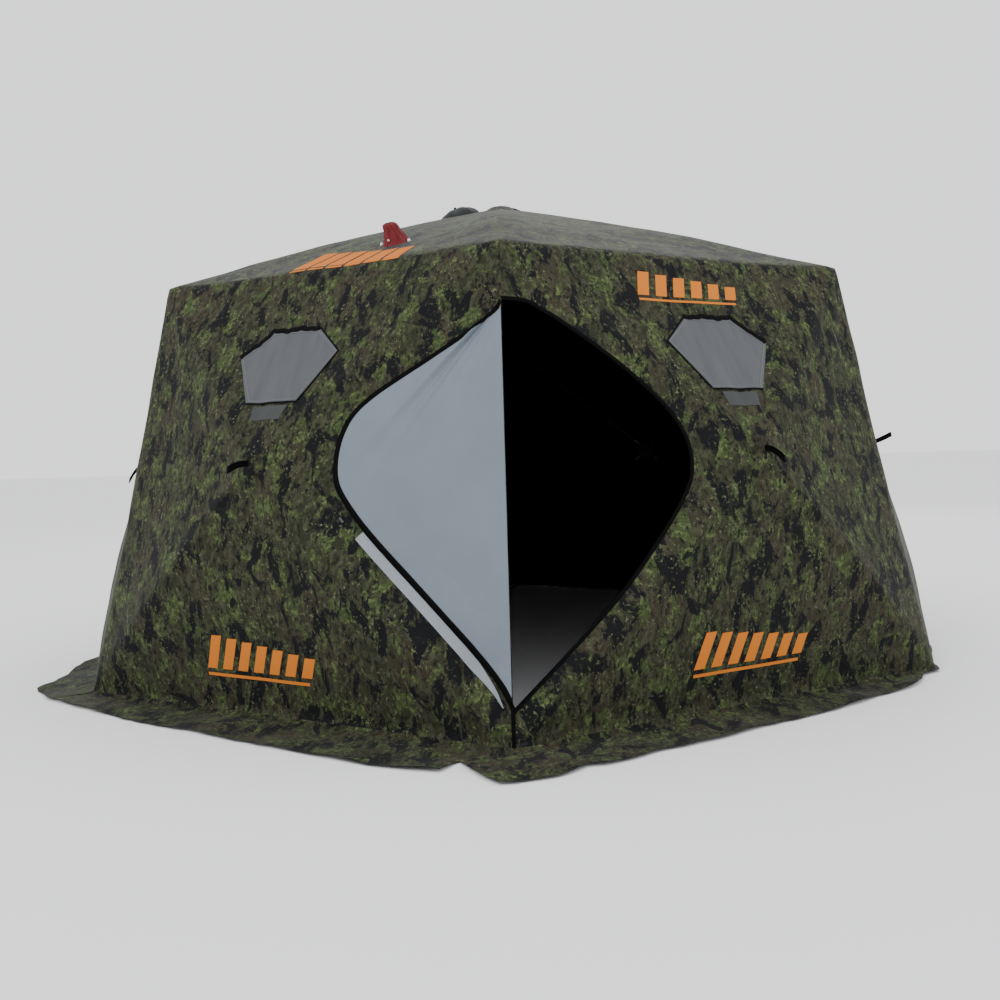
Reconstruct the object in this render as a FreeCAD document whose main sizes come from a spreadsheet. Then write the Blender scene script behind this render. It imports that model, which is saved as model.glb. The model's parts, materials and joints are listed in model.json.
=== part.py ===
"""Six-sided pop-up ground blind: hub-and-pole frame under fabric walls, with a corner door, two
windows, a stove-pipe sleeve, a roof vent and a ground skirt.  Millimetres, +Z up, the origin on the
ground under the roof hub.  The door corner faces -Y.  Bearings are degrees from -Y towards +X."""
import FreeCAD, Part
import math
import os

Vector = FreeCAD.Vector
UP = Vector(0, 0, 1)

SIZES = (
    ("base_across_flats", 3600),
    ("base_lift", 5),
    ("eaves_radius", 1686),
    ("eaves_height", 1750),
    ("apex_height", 2241),
    ("wall_bulge", 275),
    ("hub_rise_share", 0.527),
    ("fabric_thickness", 2),
    ("fabric_joint_gap", 1),
    ("hub_hole", 60),
    ("hub_disc_radius", 60),
    ("hub_disc_depth", 30),
    ("hub_disc_sink", 28),
    ("hub_boss_radius", 28),
    ("hub_cap_radius", 38),
    ("hub_cap_depth", 6),
    ("hub_fuse_overlap", 1),
    ("pivot_radius", 42),
    ("slot_width", 15),
    ("slot_root", 33),
    ("peg_diameter", 5),
    ("peg_clearance", 0.05),
    ("peg_span", 28),
    ("cut_past", 1),
    ("ferrule_diameter", 14),
    ("ferrule_length", 60),
    ("eye_diameter", 13),
    ("eye_width", 12),
    ("rod_diameter", 9.5),
    ("tip_diameter", 12),
    ("tip_length", 30),
    ("upper_pole_length", 1073),
    ("lower_pole_length", 1270),
    ("roof_pole_length", 1576),
    ("socket_inset", 36),
    ("socket_drop", 42),
    ("socket_radius", 15),
    ("socket_height", 22),
    ("socket_shift", 5),
    ("foot_inset", 55),
    ("foot_rise", 62),
    ("foot_radius", 22),
    ("foot_height", 14),
    ("strap_width", 25),
    ("strap_length", 110),
    ("strap_depth", 7),
    ("strap_gap", 1),
    ("skirt_inner_apothem", 1790),
    ("skirt_outer_apothem", 2040),
    ("skirt_thickness", 3),
    ("door_top_drop", 215),
    ("door_bottom_rise", 110),
    ("door_reach", 770),
    ("door_reach_drop", 762),
    ("door_round", 210),
    ("doorway_corner_cut", 150),
    ("flap_margin", 14),
    ("flap_stand_off", 8),
    ("flap_thickness", 2),
    ("slider_width", 10),
    ("slider_length", 24),
    ("slider_height", 6),
    ("slider_round", 1.5),
    ("slider_stop", 48),
    ("slider_start", 260),
    ("slider_side_offset", 10),
    ("window_top_drop", 293),
    ("window_mid_drop", 408),
    ("window_bottom_drop", 622),
    ("window_top_half", 117),
    ("window_mid_half", 245),
    ("window_bottom_half", 124),
    ("window_lap", 12),
    ("window_thickness", 1.5),
    ("sleeve_bearing", -24),
    ("sleeve_distance", 1080),
    ("sleeve_base_radius", 64),
    ("sleeve_middle_radius", 50),
    ("sleeve_top_radius", 33),
    ("sleeve_middle_height", 50),
    ("sleeve_height", 92),
    ("vent_bearing", -90),
    ("vent_distance", 210),
    ("vent_radius", 100),
    ("vent_height", 75),
    ("seat_gap", 0.5),
)

WALLS = (
    ("front_left", -30),
    ("front_right", 30),
    ("right", 90),
    ("back_right", 150),
    ("back_left", 210),
    ("left", 270),
)
CORNERS = (
    ("front", 0),
    ("front_right", 60),
    ("back_right", 120),
    ("back", 180),
    ("back_left", 240),
    ("front_left", 300),
)
HALF_WALL = 30

doc = FreeCAD.newDocument("pop_up_ground_blind")
sheet = doc.addObject("Spreadsheet::Sheet", "Sizes")
for row, (alias, value) in enumerate(SIZES, start=1):
    sheet.set(f"A{row}", alias)
    sheet.set(f"B{row}", str(value))
    sheet.setAlias(f"B{row}", alias)
doc.recompute()

sub_parts = []


def size(alias):
    """One driving dimension from the sheet."""
    return float(getattr(sheet, alias))


def sub_part(obj, label, placement=None):
    """Names a finished object as a sub-part and puts it in its place."""
    obj.Label = label
    if placement is not None:
        obj.Placement = placement
    sub_parts.append(obj)
    return obj


def primitive(kind, name, placement=None, **formulas):
    """A Part primitive whose sizes follow the sheet."""
    obj = doc.addObject(kind, name)
    for prop, formula in formulas.items():
        obj.setExpression(prop, formula)
    if placement is not None:
        obj.Placement = placement
    return obj


def boolean(kind, name, **links):
    obj = doc.addObject(kind, name)
    for prop, value in links.items():
        setattr(obj, prop, value)
    return obj


def shaped(label, shapes, placement=None):
    """A sub-part whose solids are computed, for pieces no primitive fits."""
    obj = doc.addObject("Part::Feature", label)
    obj.Shape = shapes[0] if len(shapes) == 1 else Part.makeCompound(shapes)
    return sub_part(obj, label, placement)


# ---------------------------------------------------------------- places


def outward(bearing):
    """The level direction that a bearing faces."""
    turn = math.radians(bearing)
    return Vector(math.sin(turn), -math.cos(turn), 0)


def sideways(bearing):
    """The level direction to the right of someone outside who faces that wall."""
    turn = math.radians(bearing)
    return Vector(math.cos(turn), math.sin(turn), 0)


def unit(vector):
    return Vector(vector).normalize()


def base_radius():
    return size("base_across_flats") / 2 / math.cos(math.radians(HALF_WALL))


def base_corner(bearing):
    return outward(bearing) * base_radius() + UP * size("base_lift")


def eaves_corner(bearing):
    return outward(bearing) * size("eaves_radius") + UP * size("eaves_height")


def apex():
    return UP * size("apex_height")


def wall_axes(bearing):
    """Right, up-slope and outward directions of a wall's plane through its four corners."""
    right = sideways(bearing)
    slope = unit(eaves_corner(bearing + HALF_WALL) - base_corner(bearing + HALF_WALL)
                 - right * (eaves_corner(bearing + HALF_WALL) - base_corner(bearing + HALF_WALL)).dot(right))
    return right, slope, right.cross(slope)


def wall_peak(bearing):
    """The outer point of a wall's fabric, where its hub pushes it out."""
    right, slope, out = wall_axes(bearing)
    foot = (base_corner(bearing - HALF_WALL) + base_corner(bearing + HALF_WALL)) * 0.5
    head = (eaves_corner(bearing - HALF_WALL) + eaves_corner(bearing + HALF_WALL)) * 0.5
    return foot + (head - foot) * size("hub_rise_share") + out * size("wall_bulge")


def upper_socket(bearing):
    """Where the pole tips meet inside an eaves corner."""
    return (outward(bearing) * (size("eaves_radius") - size("socket_inset"))
            + UP * (size("eaves_height") - size("socket_drop")))


def lower_socket(bearing):
    """Where the pole tips meet inside a base corner."""
    return outward(bearing) * (base_radius() - size("foot_inset")) + UP * size("foot_rise")


def axes_placement(origin, x_axis, y_axis, z_axis):
    return FreeCAD.Placement(origin, FreeCAD.Rotation(x_axis, y_axis, z_axis, "ZXY"))


# ---------------------------------------------------------------- hubs and poles


class Pole:
    """Where one pole's pivot is, and how it swings as its hub travels."""

    def __init__(self, name, kind, peak, out, target):
        self.name = name
        self.kind = kind
        depth = size("hub_disc_sink") + size("hub_disc_depth") / 2
        centre = peak - out * depth
        level = (target - centre) - out * (target - centre).dot(out)
        self.radial = unit(level)
        self.pivot = centre + self.radial * size("pivot_radius")
        self.peg = out.cross(self.radial)
        self.run = (target - self.pivot).dot(self.radial)
        self.offset = -(target - self.pivot).dot(out)
        self.direction = unit(target - self.pivot)
        self.reach = (target - self.pivot).Length

    def lean(self, travel):
        """The pole's angle to its hub's plane once the hub has moved in by that travel."""
        return math.atan2(self.offset - travel, self.run)

    def placement(self):
        return axes_placement(self.pivot, self.peg.cross(self.direction), self.peg, self.direction)


class Hub:
    """A hub's peak, axis, poles and full travel."""

    def __init__(self, name, peak, right, out, targets):
        self.name = name
        self.peak = peak
        self.out = out
        self.right = right
        self.poles = [Pole(pole, kind, peak, out, target) for pole, kind, target in targets]
        offsets = [pole.offset for pole in self.poles]
        self.travel = 2 * sum(offsets) / len(offsets)

    def placement(self):
        return axes_placement(self.peak, self.right, self.out.cross(self.right), self.out)


def wall_hub(wall, bearing):
    right, slope, out = wall_axes(bearing)
    targets = (
        (f"{wall}_upper_left_pole", "upper", upper_socket(bearing - HALF_WALL)),
        (f"{wall}_upper_right_pole", "upper", upper_socket(bearing + HALF_WALL)),
        (f"{wall}_lower_left_pole", "lower", lower_socket(bearing - HALF_WALL)),
        (f"{wall}_lower_right_pole", "lower", lower_socket(bearing + HALF_WALL)),
    )
    return Hub(f"{wall}_hub", wall_peak(bearing), right, out, targets)


def roof_hub():
    targets = [(f"roof_{corner}_pole", "roof", upper_socket(bearing)) for corner, bearing in CORNERS]
    return Hub("roof_hub", apex(), sideways(0), UP, targets)


def build_hub(hub):
    """A moulded disc with a slot for each pole, pivot bores across the slots, and a cap outside the fabric."""
    name = hub.name
    disc = primitive(
        "Part::Cylinder", name + "_disc",
        FreeCAD.Placement(Vector(0, 0, -size("hub_disc_sink") - size("hub_disc_depth")), FreeCAD.Rotation()),
        Radius="Sizes.hub_disc_radius", Height="Sizes.hub_disc_depth")
    boss = primitive(
        "Part::Cylinder", name + "_boss",
        FreeCAD.Placement(Vector(0, 0, -size("hub_disc_sink") - size("hub_fuse_overlap")),
                          FreeCAD.Rotation()),
        Radius="Sizes.hub_boss_radius", Height="Sizes.hub_disc_sink - Sizes.hub_fuse_overlap")
    cap = primitive(
        "Part::Cylinder", name + "_cap",
        FreeCAD.Placement(Vector(0, 0, -size("hub_cap_depth")), FreeCAD.Rotation()),
        Radius="Sizes.hub_cap_radius", Height="Sizes.hub_cap_depth")
    solid = boolean("Part::MultiFuse", name + "_solid", Shapes=[disc, boss, cap])
    level = -size("hub_disc_sink") - size("hub_disc_depth") / 2
    cutters = []
    frame = hub.placement().Rotation.inverted()
    for pole in hub.poles:
        radial = frame.multVec(pole.radial)
        peg = frame.multVec(pole.peg)
        slot_origin = radial * size("slot_root") - peg * (size("slot_width") / 2)
        slot_origin.z = -size("hub_disc_sink") - size("hub_disc_depth") - size("cut_past")
        slot = primitive(
            "Part::Box", pole.name + "_slot", axes_placement(slot_origin, radial, peg, UP),
            Length="Sizes.hub_disc_radius", Width="Sizes.slot_width",
            Height="Sizes.hub_disc_depth + 2 * Sizes.cut_past")
        bore_start = size("peg_span") / 2 + size("cut_past")
        bore_origin = radial * size("pivot_radius") - peg * bore_start + UP * level
        bore = primitive(
            "Part::Cylinder", pole.name + "_bore", axes_placement(bore_origin, radial.cross(peg), radial, peg),
            Radius="Sizes.peg_diameter / 2 + Sizes.peg_clearance",
            Height="Sizes.peg_span + 2 * Sizes.cut_past")
        cutters += [slot, bore]
    tools = boolean("Part::MultiFuse", name + "_cutters", Shapes=cutters)
    body = boolean("Part::Cut", name, Base=solid, Tool=tools)
    return sub_part(body, name, hub.placement())


def build_pole(pole):
    """A fibreglass rod with a moulded end that pivots in the hub on two pegs, and a tip cap."""
    name = pole.name
    across = FreeCAD.Rotation(Vector(1, 0, 0), -90)
    rod = primitive(
        "Part::Cylinder", name + "_rod",
        Radius="Sizes.rod_diameter / 2", Height=f"Sizes.{pole.kind}_pole_length")
    ferrule = primitive(
        "Part::Cylinder", name + "_ferrule",
        Radius="Sizes.ferrule_diameter / 2", Height="Sizes.ferrule_length")
    eye = primitive(
        "Part::Cylinder", name + "_eye",
        FreeCAD.Placement(Vector(0, -size("eye_width") / 2, 0), across),
        Radius="Sizes.eye_diameter / 2", Height="Sizes.eye_width")
    pegs = primitive(
        "Part::Cylinder", name + "_pegs",
        FreeCAD.Placement(Vector(0, -size("peg_span") / 2, 0), across),
        Radius="Sizes.peg_diameter / 2", Height="Sizes.peg_span")
    tip_start = size(f"{pole.kind}_pole_length") - size("tip_length")
    tip = primitive(
        "Part::Cylinder", name + "_tip",
        FreeCAD.Placement(Vector(0, 0, tip_start), FreeCAD.Rotation()),
        Radius="Sizes.tip_diameter / 2", Height="Sizes.tip_length")
    solid = boolean("Part::MultiFuse", name, Shapes=[rod, ferrule, eye, pegs, tip])
    return sub_part(solid, name, pole.placement())


def build_strap(hub):
    """A loop of webbing, drawn as a closed band with a thin gap, that stands out from the hub's cap."""
    name = hub.name.replace("_hub", "_pull_strap")
    body = doc.addObject("PartDesign::Body", name)
    sketch = body.newObject("Sketcher::SketchObject", name + "_side")
    plane = [p for p in body.Origin.OriginFeatures if p.Role == "XZ_Plane"][0]
    sketch.AttachmentSupport = [(plane, "")]
    sketch.MapMode = "FlatFace"
    half = size("strap_depth") / 2
    hole = size("strap_gap") / 2
    foot = size("seat_gap")
    top = size("strap_length") - half
    inner_foot = foot + half
    for reach, start in ((half, foot), (hole, inner_foot)):
        sketch.addGeometry(Part.LineSegment(Vector(-reach, start, 0), Vector(reach, start, 0)))
        sketch.addGeometry(Part.LineSegment(Vector(reach, start, 0), Vector(reach, top, 0)))
        sketch.addGeometry(Part.ArcOfCircle(Part.Circle(Vector(0, top, 0), UP, reach), 0, math.pi))
        sketch.addGeometry(Part.LineSegment(Vector(-reach, top, 0), Vector(-reach, start, 0)))
    pad = body.newObject("PartDesign::Pad", name + "_pad")
    pad.Profile = sketch
    pad.Midplane = True
    pad.setExpression("Length", "Sizes.strap_width")
    doc.recompute()
    place = hub.placement()
    if hub.name == "roof_hub":
        lying = FreeCAD.Rotation(Vector(0, 1, 0), 90)
        place = FreeCAD.Placement(hub.peak + UP * (half + size("seat_gap")), lying)
    return sub_part(body, name, place)


# ---------------------------------------------------------------- fabric


def panel(points, outside, thickness, lift=0, inset=None, hole=None):
    """A flat fabric panel: its outer face lies lift outside the given corners."""
    if inset is None:
        inset = size("fabric_joint_gap")
    normal = unit((points[1] - points[0]).cross(points[2] - points[0]))
    if normal.dot(outside) < 0:
        normal = normal * -1
    wire = Part.makePolygon(list(points) + [points[0]])
    if inset:
        wire = wire.makeOffset2D(-inset, 2)
    face = Part.Face(wire)
    if hole:
        face = face.cut(Part.Face(Part.makePolygon(list(hole) + [hole[0]]))).Faces[0]
    face.translate(normal * lift)
    return face.extrude(normal * -thickness)


def towards(start, end, distance):
    return start + unit(end - start) * distance


def corner_edge_point(drop):
    """A point on the front corner's edge, that far down from the eaves."""
    return towards(eaves_corner(0), base_corner(0), drop)


def door_points(side):
    """Top, reach and bottom of the door's half on one side of the front corner: side -1 left, 1 right."""
    edge = unit(base_corner(0) - eaves_corner(0))
    peak = wall_peak(side * HALF_WALL)
    inward = (peak - eaves_corner(0)) - edge * (peak - eaves_corner(0)).dot(edge)
    length = (base_corner(0) - eaves_corner(0)).Length
    top = corner_edge_point(size("door_top_drop"))
    bottom = corner_edge_point(length - size("door_bottom_rise"))
    reach = corner_edge_point(size("door_reach_drop")) + unit(inward) * size("door_reach")
    return top, reach, bottom


def window_points(bearing, margin):
    """The six corners of a window in a wall's upper panel, grown by a margin."""
    left = eaves_corner(bearing - HALF_WALL)
    right = eaves_corner(bearing + HALF_WALL)
    across = unit(right - left)
    middle = (left + right) * 0.5
    down = wall_peak(bearing) - middle
    down = unit(down - across * down.dot(across))
    rows = (
        (size("window_top_drop") - margin, size("window_top_half") + margin / 2),
        (size("window_mid_drop"), size("window_mid_half") + margin),
        (size("window_bottom_drop") + margin, size("window_bottom_half") + margin / 2),
    )
    near = [middle + down * drop - across * half for drop, half in rows]
    far = [middle + down * drop + across * half for drop, half in rows]
    return near + far[::-1]


def build_wall(wall, bearing):
    """Four sloping panels from a wall's corners up to its hub; the front right one has the doorway."""
    peak = wall_peak(bearing)
    out = wall_axes(bearing)[2]
    corners = (
        eaves_corner(bearing - HALF_WALL), eaves_corner(bearing + HALF_WALL),
        base_corner(bearing + HALF_WALL), base_corner(bearing - HALF_WALL),
    )
    panels = []
    for index, near in enumerate(corners):
        far = corners[(index + 1) % 4]
        near_peak = towards(peak, near, size("hub_hole"))
        far_peak = towards(peak, far, size("hub_hole"))
        outline = [near, far, far_peak, near_peak]
        hole = window_points(bearing, 0) if index == 0 and wall.startswith("front") else None
        if wall == "front_right" and index == 3:
            top, reach, bottom = door_points(1)
            above = towards(reach, top, size("doorway_corner_cut"))
            below = towards(reach, bottom, size("doorway_corner_cut"))
            between = (near_peak + far_peak) * 0.5
            for strip in ([near, bottom, below, between, near_peak], [far, far_peak, between, above, top],
                          [above, between, below]):
                panels.append(panel(strip, out, size("fabric_thickness")))
            continue
        panels.append(panel(outline, out, size("fabric_thickness"), hole=hole))
    return shaped(f"{wall}_wall", panels)


def build_roof():
    """Six sloping panels from the eaves up to the roof hub."""
    panels = []
    for wall, bearing in WALLS:
        left = eaves_corner(bearing - HALF_WALL)
        right = eaves_corner(bearing + HALF_WALL)
        outline = [left, right,
                   towards(apex(), right, size("hub_hole")), towards(apex(), left, size("hub_hole"))]
        panels.append(panel(outline, UP, size("fabric_thickness")))
    return shaped("roof_canopy", panels)


def build_skirt():
    """Six strips that lie on the ground round the base."""
    strips = []
    to_radius = 1 / math.cos(math.radians(HALF_WALL))
    inner = size("skirt_inner_apothem") * to_radius
    outer = size("skirt_outer_apothem") * to_radius
    top = UP * size("skirt_thickness")
    for wall, bearing in WALLS:
        left = bearing - HALF_WALL
        right = bearing + HALF_WALL
        outline = [outward(left) * inner + top, outward(right) * inner + top,
                   outward(right) * outer + top, outward(left) * outer + top]
        strips.append(panel(outline, UP, size("skirt_thickness")))
    return shaped("snow_skirt", strips)


def build_window(name, bearing):
    out = wall_axes(bearing)[2]
    lift = size("seat_gap") + size("window_thickness")
    film = panel(window_points(bearing, size("window_lap")), out, size("window_thickness"), lift, inset=0)
    return shaped(name, [film])


def door_hinge():
    """A point on the door flap's fold line, and the line's direction up the front corner."""
    edge = unit(eaves_corner(0) - base_corner(0))
    forward = unit(outward(0) - edge * outward(0).dot(edge))
    middle = (eaves_corner(0) + base_corner(0)) * 0.5
    return middle + forward * size("flap_stand_off"), edge


def near_panel_normal(side):
    """Outward normal of the fabric panel beside the front corner."""
    normal = unit((base_corner(0) - eaves_corner(0)).cross(wall_peak(side * HALF_WALL) - eaves_corner(0)))
    return normal if normal.dot(outward(0)) > 0 else normal * -1


def door_swing():
    """Degrees that the flap turns from folded open over the left panel to closed over the right one."""
    between = math.degrees(near_panel_normal(-1).getAngle(near_panel_normal(1)))
    return 180 + between


def build_flap():
    """The door's right half, unzipped and folded back over the left half, with its reach rounded off."""
    top, reach, bottom = door_points(-1)
    normal = near_panel_normal(-1)
    lift = normal.dot(door_hinge()[0] - eaves_corner(0)) + size("flap_thickness") / 2
    solid = panel([top, reach, bottom], normal, size("flap_thickness"), lift, inset=size("flap_margin"))
    corner = min(solid.Edges, key=lambda edge: (edge.CenterOfMass - reach).Length)
    return shaped("door_flap", [solid.makeFillet(size("door_round"), [corner])])


def slider_track():
    """Start, direction and travel of the zip slider on the door's lower left edge."""
    top, reach, bottom = door_points(-1)
    along = unit(bottom - reach)
    start = reach + along * size("slider_start")
    return start, along, (bottom - start).Length - size("slider_stop")


def build_slider():
    """The zip's slider, which lies on the fabric just outside the door's edge."""
    start, along, travel = slider_track()
    normal = near_panel_normal(-1)
    side = along.cross(normal)
    if side.dot(door_points(-1)[1] - door_points(-1)[0]) < 0:
        side = side * -1
    across = normal.cross(along)
    origin = (start + side * size("slider_side_offset") + normal * size("seat_gap")
              - across * (size("slider_width") / 2))
    box = primitive(
        "Part::Box", "slider_box",
        Length="Sizes.slider_length", Width="Sizes.slider_width", Height="Sizes.slider_height")
    rounded = doc.addObject("Part::Fillet", "zip_slider")
    rounded.Base = box
    doc.recompute()
    radius = size("slider_round")
    rounded.Edges = [(index + 1, radius, radius) for index in range(len(box.Shape.Edges))]
    return sub_part(rounded, "zip_slider", axes_placement(origin, along, across, normal))


# ---------------------------------------------------------------- corners, sleeve and vent


def build_sockets():
    """Moulded cups inside the eaves corners, one per corner."""
    cups = []
    for corner, bearing in CORNERS:
        centre = outward(bearing) * (size("eaves_radius") - size("socket_inset") + size("socket_shift"))
        centre = centre + UP * (size("eaves_height") - size("socket_drop") - size("socket_height") / 2)
        cups.append(Part.makeCylinder(size("socket_radius"), size("socket_height"), centre))
    return shaped("eaves_corner_sockets", cups)


def build_feet():
    """Round feet that carry the base corners on the ground."""
    feet = []
    for corner, bearing in CORNERS:
        centre = outward(bearing) * (base_radius() - size("foot_inset"))
        feet.append(Part.makeCylinder(size("foot_radius"), size("foot_height"), centre))
    return shaped("base_corner_feet", feet)


def roof_seat(bearing, distance):
    """A placement on the roof's outer face, Z along the face's normal and X down the slope."""
    wall = min(WALLS, key=lambda entry: abs((entry[1] - bearing + 180) % 360 - 180))[1]
    left = eaves_corner(wall - HALF_WALL)
    right = eaves_corner(wall + HALF_WALL)
    normal = unit((right - left).cross(apex() - left))
    level = outward(bearing) * distance
    height = (normal.dot(apex()) - normal.x * level.x - normal.y * level.y) / normal.z
    across = unit(right - left)
    return axes_placement(level + UP * height + normal * size("seat_gap"), across, normal.cross(across), normal)


def build_sleeve():
    """A gathered fabric sleeve for a stove pipe, which narrows from its flared foot on the roof."""
    body = doc.addObject("PartDesign::Body", "stove_sleeve")
    sketch = body.newObject("Sketcher::SketchObject", "stove_sleeve_profile")
    plane = [p for p in body.Origin.OriginFeatures if p.Role == "XZ_Plane"][0]
    sketch.AttachmentSupport = [(plane, "")]
    sketch.MapMode = "FlatFace"
    outline = (
        Vector(0, 0, 0), Vector(size("sleeve_base_radius"), 0, 0),
        Vector(size("sleeve_middle_radius"), size("sleeve_middle_height"), 0),
        Vector(size("sleeve_top_radius"), size("sleeve_height"), 0),
        Vector(0, size("sleeve_height"), 0),
    )
    for index, start in enumerate(outline):
        sketch.addGeometry(Part.LineSegment(start, outline[(index + 1) % len(outline)]))
    turn = body.newObject("PartDesign::Revolution", "stove_sleeve_turn")
    turn.Profile = sketch
    turn.ReferenceAxis = (sketch, ["V_Axis"])
    turn.Angle = 360
    doc.recompute()
    return sub_part(body, "stove_sleeve", roof_seat(size("sleeve_bearing"), size("sleeve_distance")))


def build_vent():
    """A domed hood over the roof's vent."""
    radius = (size("vent_radius") ** 2 + size("vent_height") ** 2) / (2 * size("vent_height"))
    seat = roof_seat(size("vent_bearing"), size("vent_distance"))
    ball = Part.makeSphere(radius, Vector(0, 0, size("vent_height") - radius))
    above = Part.makeBox(4 * radius, 4 * radius, 2 * radius, Vector(-2 * radius, -2 * radius, 0))
    return shaped("roof_vent_hood", [ball.common(above).Solids[0]], seat)


# ---------------------------------------------------------------- assembly

hubs = [wall_hub(wall, bearing) for wall, bearing in WALLS] + [roof_hub()]


def build_all():
    for hub in hubs:
        build_hub(hub)
        build_strap(hub)
        for pole in hub.poles:
            build_pole(pole)
    for wall, bearing in WALLS:
        build_wall(wall, bearing)
    build_roof()
    build_skirt()
    build_window("left_window", -HALF_WALL)
    build_window("right_window", HALF_WALL)
    build_flap()
    build_slider()
    build_sockets()
    build_feet()
    build_sleeve()
    build_vent()
    doc.recompute()


def check_all():
    for obj in doc.Objects:
        if "Invalid" in obj.State or "Error" in obj.State:
            raise RuntimeError(f"{obj.Name} failed: {obj.State}")
    for obj in sub_parts:
        if obj.Shape.isNull() or not obj.Shape.isValid():
            raise RuntimeError(f"{obj.Label} has no valid shape")


def export_all():
    os.makedirs("parts", exist_ok=True)
    for obj in sub_parts:
        obj.Shape.exportStep(f"parts/{obj.Label}.step")


build_all()
check_all()
export_all()
print(len(sub_parts), "sub-parts")
for hub in (hubs[0], hubs[-1]):
    print(hub.name, "travel", round(hub.travel, 1))
    for pole in hub.poles:
        gap = pole.reach - size(f"{pole.kind}_pole_length")
        least = gap - (pole.reach - pole.run)
        swing = math.degrees(pole.lean(0) - pole.lean(hub.travel))
        print(" ", pole.name, "gap at rest", round(gap, 1), "least", round(least, 1), "swing", round(swing, 1))
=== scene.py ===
"""Looks of the six-sided pop-up ground blind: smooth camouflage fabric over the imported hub-and-pole frame."""
import json
import math

import bpy
import numpy as np
from mathutils import Matrix, Vector, noise
from mathutils.bvhtree import BVHTree


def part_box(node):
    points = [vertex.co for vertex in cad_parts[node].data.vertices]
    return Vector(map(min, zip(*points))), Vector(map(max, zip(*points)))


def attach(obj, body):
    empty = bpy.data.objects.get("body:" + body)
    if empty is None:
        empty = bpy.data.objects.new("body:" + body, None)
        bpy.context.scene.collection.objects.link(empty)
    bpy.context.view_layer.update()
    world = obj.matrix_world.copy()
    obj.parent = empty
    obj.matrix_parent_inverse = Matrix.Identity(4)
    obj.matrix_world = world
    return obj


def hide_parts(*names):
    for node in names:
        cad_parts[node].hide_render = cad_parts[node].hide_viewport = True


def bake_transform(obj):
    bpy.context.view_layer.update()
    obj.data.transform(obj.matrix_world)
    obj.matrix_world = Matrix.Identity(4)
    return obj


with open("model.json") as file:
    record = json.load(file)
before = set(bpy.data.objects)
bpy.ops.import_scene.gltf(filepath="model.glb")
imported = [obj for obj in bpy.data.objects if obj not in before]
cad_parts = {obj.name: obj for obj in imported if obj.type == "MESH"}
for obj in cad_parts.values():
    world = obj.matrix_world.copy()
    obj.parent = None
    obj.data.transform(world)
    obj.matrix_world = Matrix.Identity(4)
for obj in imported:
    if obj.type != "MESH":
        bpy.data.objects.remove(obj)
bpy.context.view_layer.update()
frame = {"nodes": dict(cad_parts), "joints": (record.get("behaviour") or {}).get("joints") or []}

TENT = "tent"
WALLS = (("front_left", -30), ("front_right", 30), ("right", 90),
         ("back_right", 150), ("back_left", 210), ("left", 270))
HALF_WALL = 30
UP = np.array((0.0, 0.0, 1.0))

ROWS = 38
COLUMNS = 44
SKIRT_ROWS = 10
FABRIC_THICKNESS = 0.0016
HUB_RING = 0.030
BLEND_FROM = 0.30
BLEND_TO = 0.93

LOWER_BOW = 0.030
UPPER_BOW = -0.003
ROOF_BOW = 0.026
WALL_SAG = 0.012
ROOF_SAG = 0.006
EDGE_PULL = 0.010

DOOR_TOP_DROP = 0.215
DOOR_BOTTOM_RISE = 0.130
DOOR_STEPS = 12
CORNER_ROUNDS = 2
# The door's two edges as the photo shows them: drop below the eaves, and distance from the front corner.
DOOR_EDGE_LEFT = (
    (0.215, 0.0), (0.262, 0.035), (0.323, 0.125), (0.408, 0.275), (0.462, 0.378), (0.533, 0.504),
    (0.590, 0.570), (0.657, 0.610), (0.733, 0.632), (0.802, 0.637), (0.858, 0.627), (0.916, 0.596),
    (1.015, 0.528), (1.171, 0.389), (1.273, 0.296), (1.540, 0.060), (1.6586, 0.0))
DOOR_EDGE_RIGHT = (
    (0.215, 0.0), (0.219, 0.090), (0.250, 0.145), (0.284, 0.208), (0.428, 0.416), (0.552, 0.558),
    (0.629, 0.626), (0.700, 0.666), (0.767, 0.684), (0.830, 0.683), (0.884, 0.669), (0.996, 0.606),
    (1.190, 0.462), (1.283, 0.384), (1.469, 0.200), (1.6586, 0.0))


# ---------------------------------------------------------------- camera, light and floor

def add_object(name, data):
    made = bpy.data.objects.new(name, data)
    bpy.context.scene.collection.objects.link(made)
    return made


def make_camera():
    """The photographer stands before the door corner, at chest height, with the camera a little tilted."""
    yaw, pitch, roll = math.radians(0.238), math.radians(2.831), math.radians(1.726)
    distance, height = 5.468, 1.005
    data = bpy.data.cameras.new("camera")
    data.lens = 37.75
    data.sensor_width = 36
    data.shift_x = -0.0093
    camera = add_object("camera", data)
    right = Vector((math.cos(yaw), math.sin(yaw), 0))
    level = Vector((-math.sin(yaw), math.cos(yaw), 0))
    forward = level * math.cos(pitch) - Vector((0, 0, 1)) * math.sin(pitch)
    upward = Vector((0, 0, 1)) * math.cos(pitch) + level * math.sin(pitch)
    side = right * math.cos(roll) - upward * math.sin(roll)
    top = right * math.sin(roll) + upward * math.cos(roll)
    axes = Matrix((side, top, -forward)).transposed().to_4x4()
    place = Vector((math.sin(yaw) * distance, -math.cos(yaw) * distance, height))
    camera.matrix_world = Matrix.Translation(place) @ axes
    bpy.context.scene.camera = camera


def area_light(name, place, target, size, power):
    data = bpy.data.lights.new(name, "AREA")
    data.size = size
    data.energy = power
    lamp = add_object(name, data)
    lamp.location = place
    lamp.rotation_euler = (Vector(target) - Vector(place)).to_track_quat("-Z", "Y").to_euler()


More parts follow.
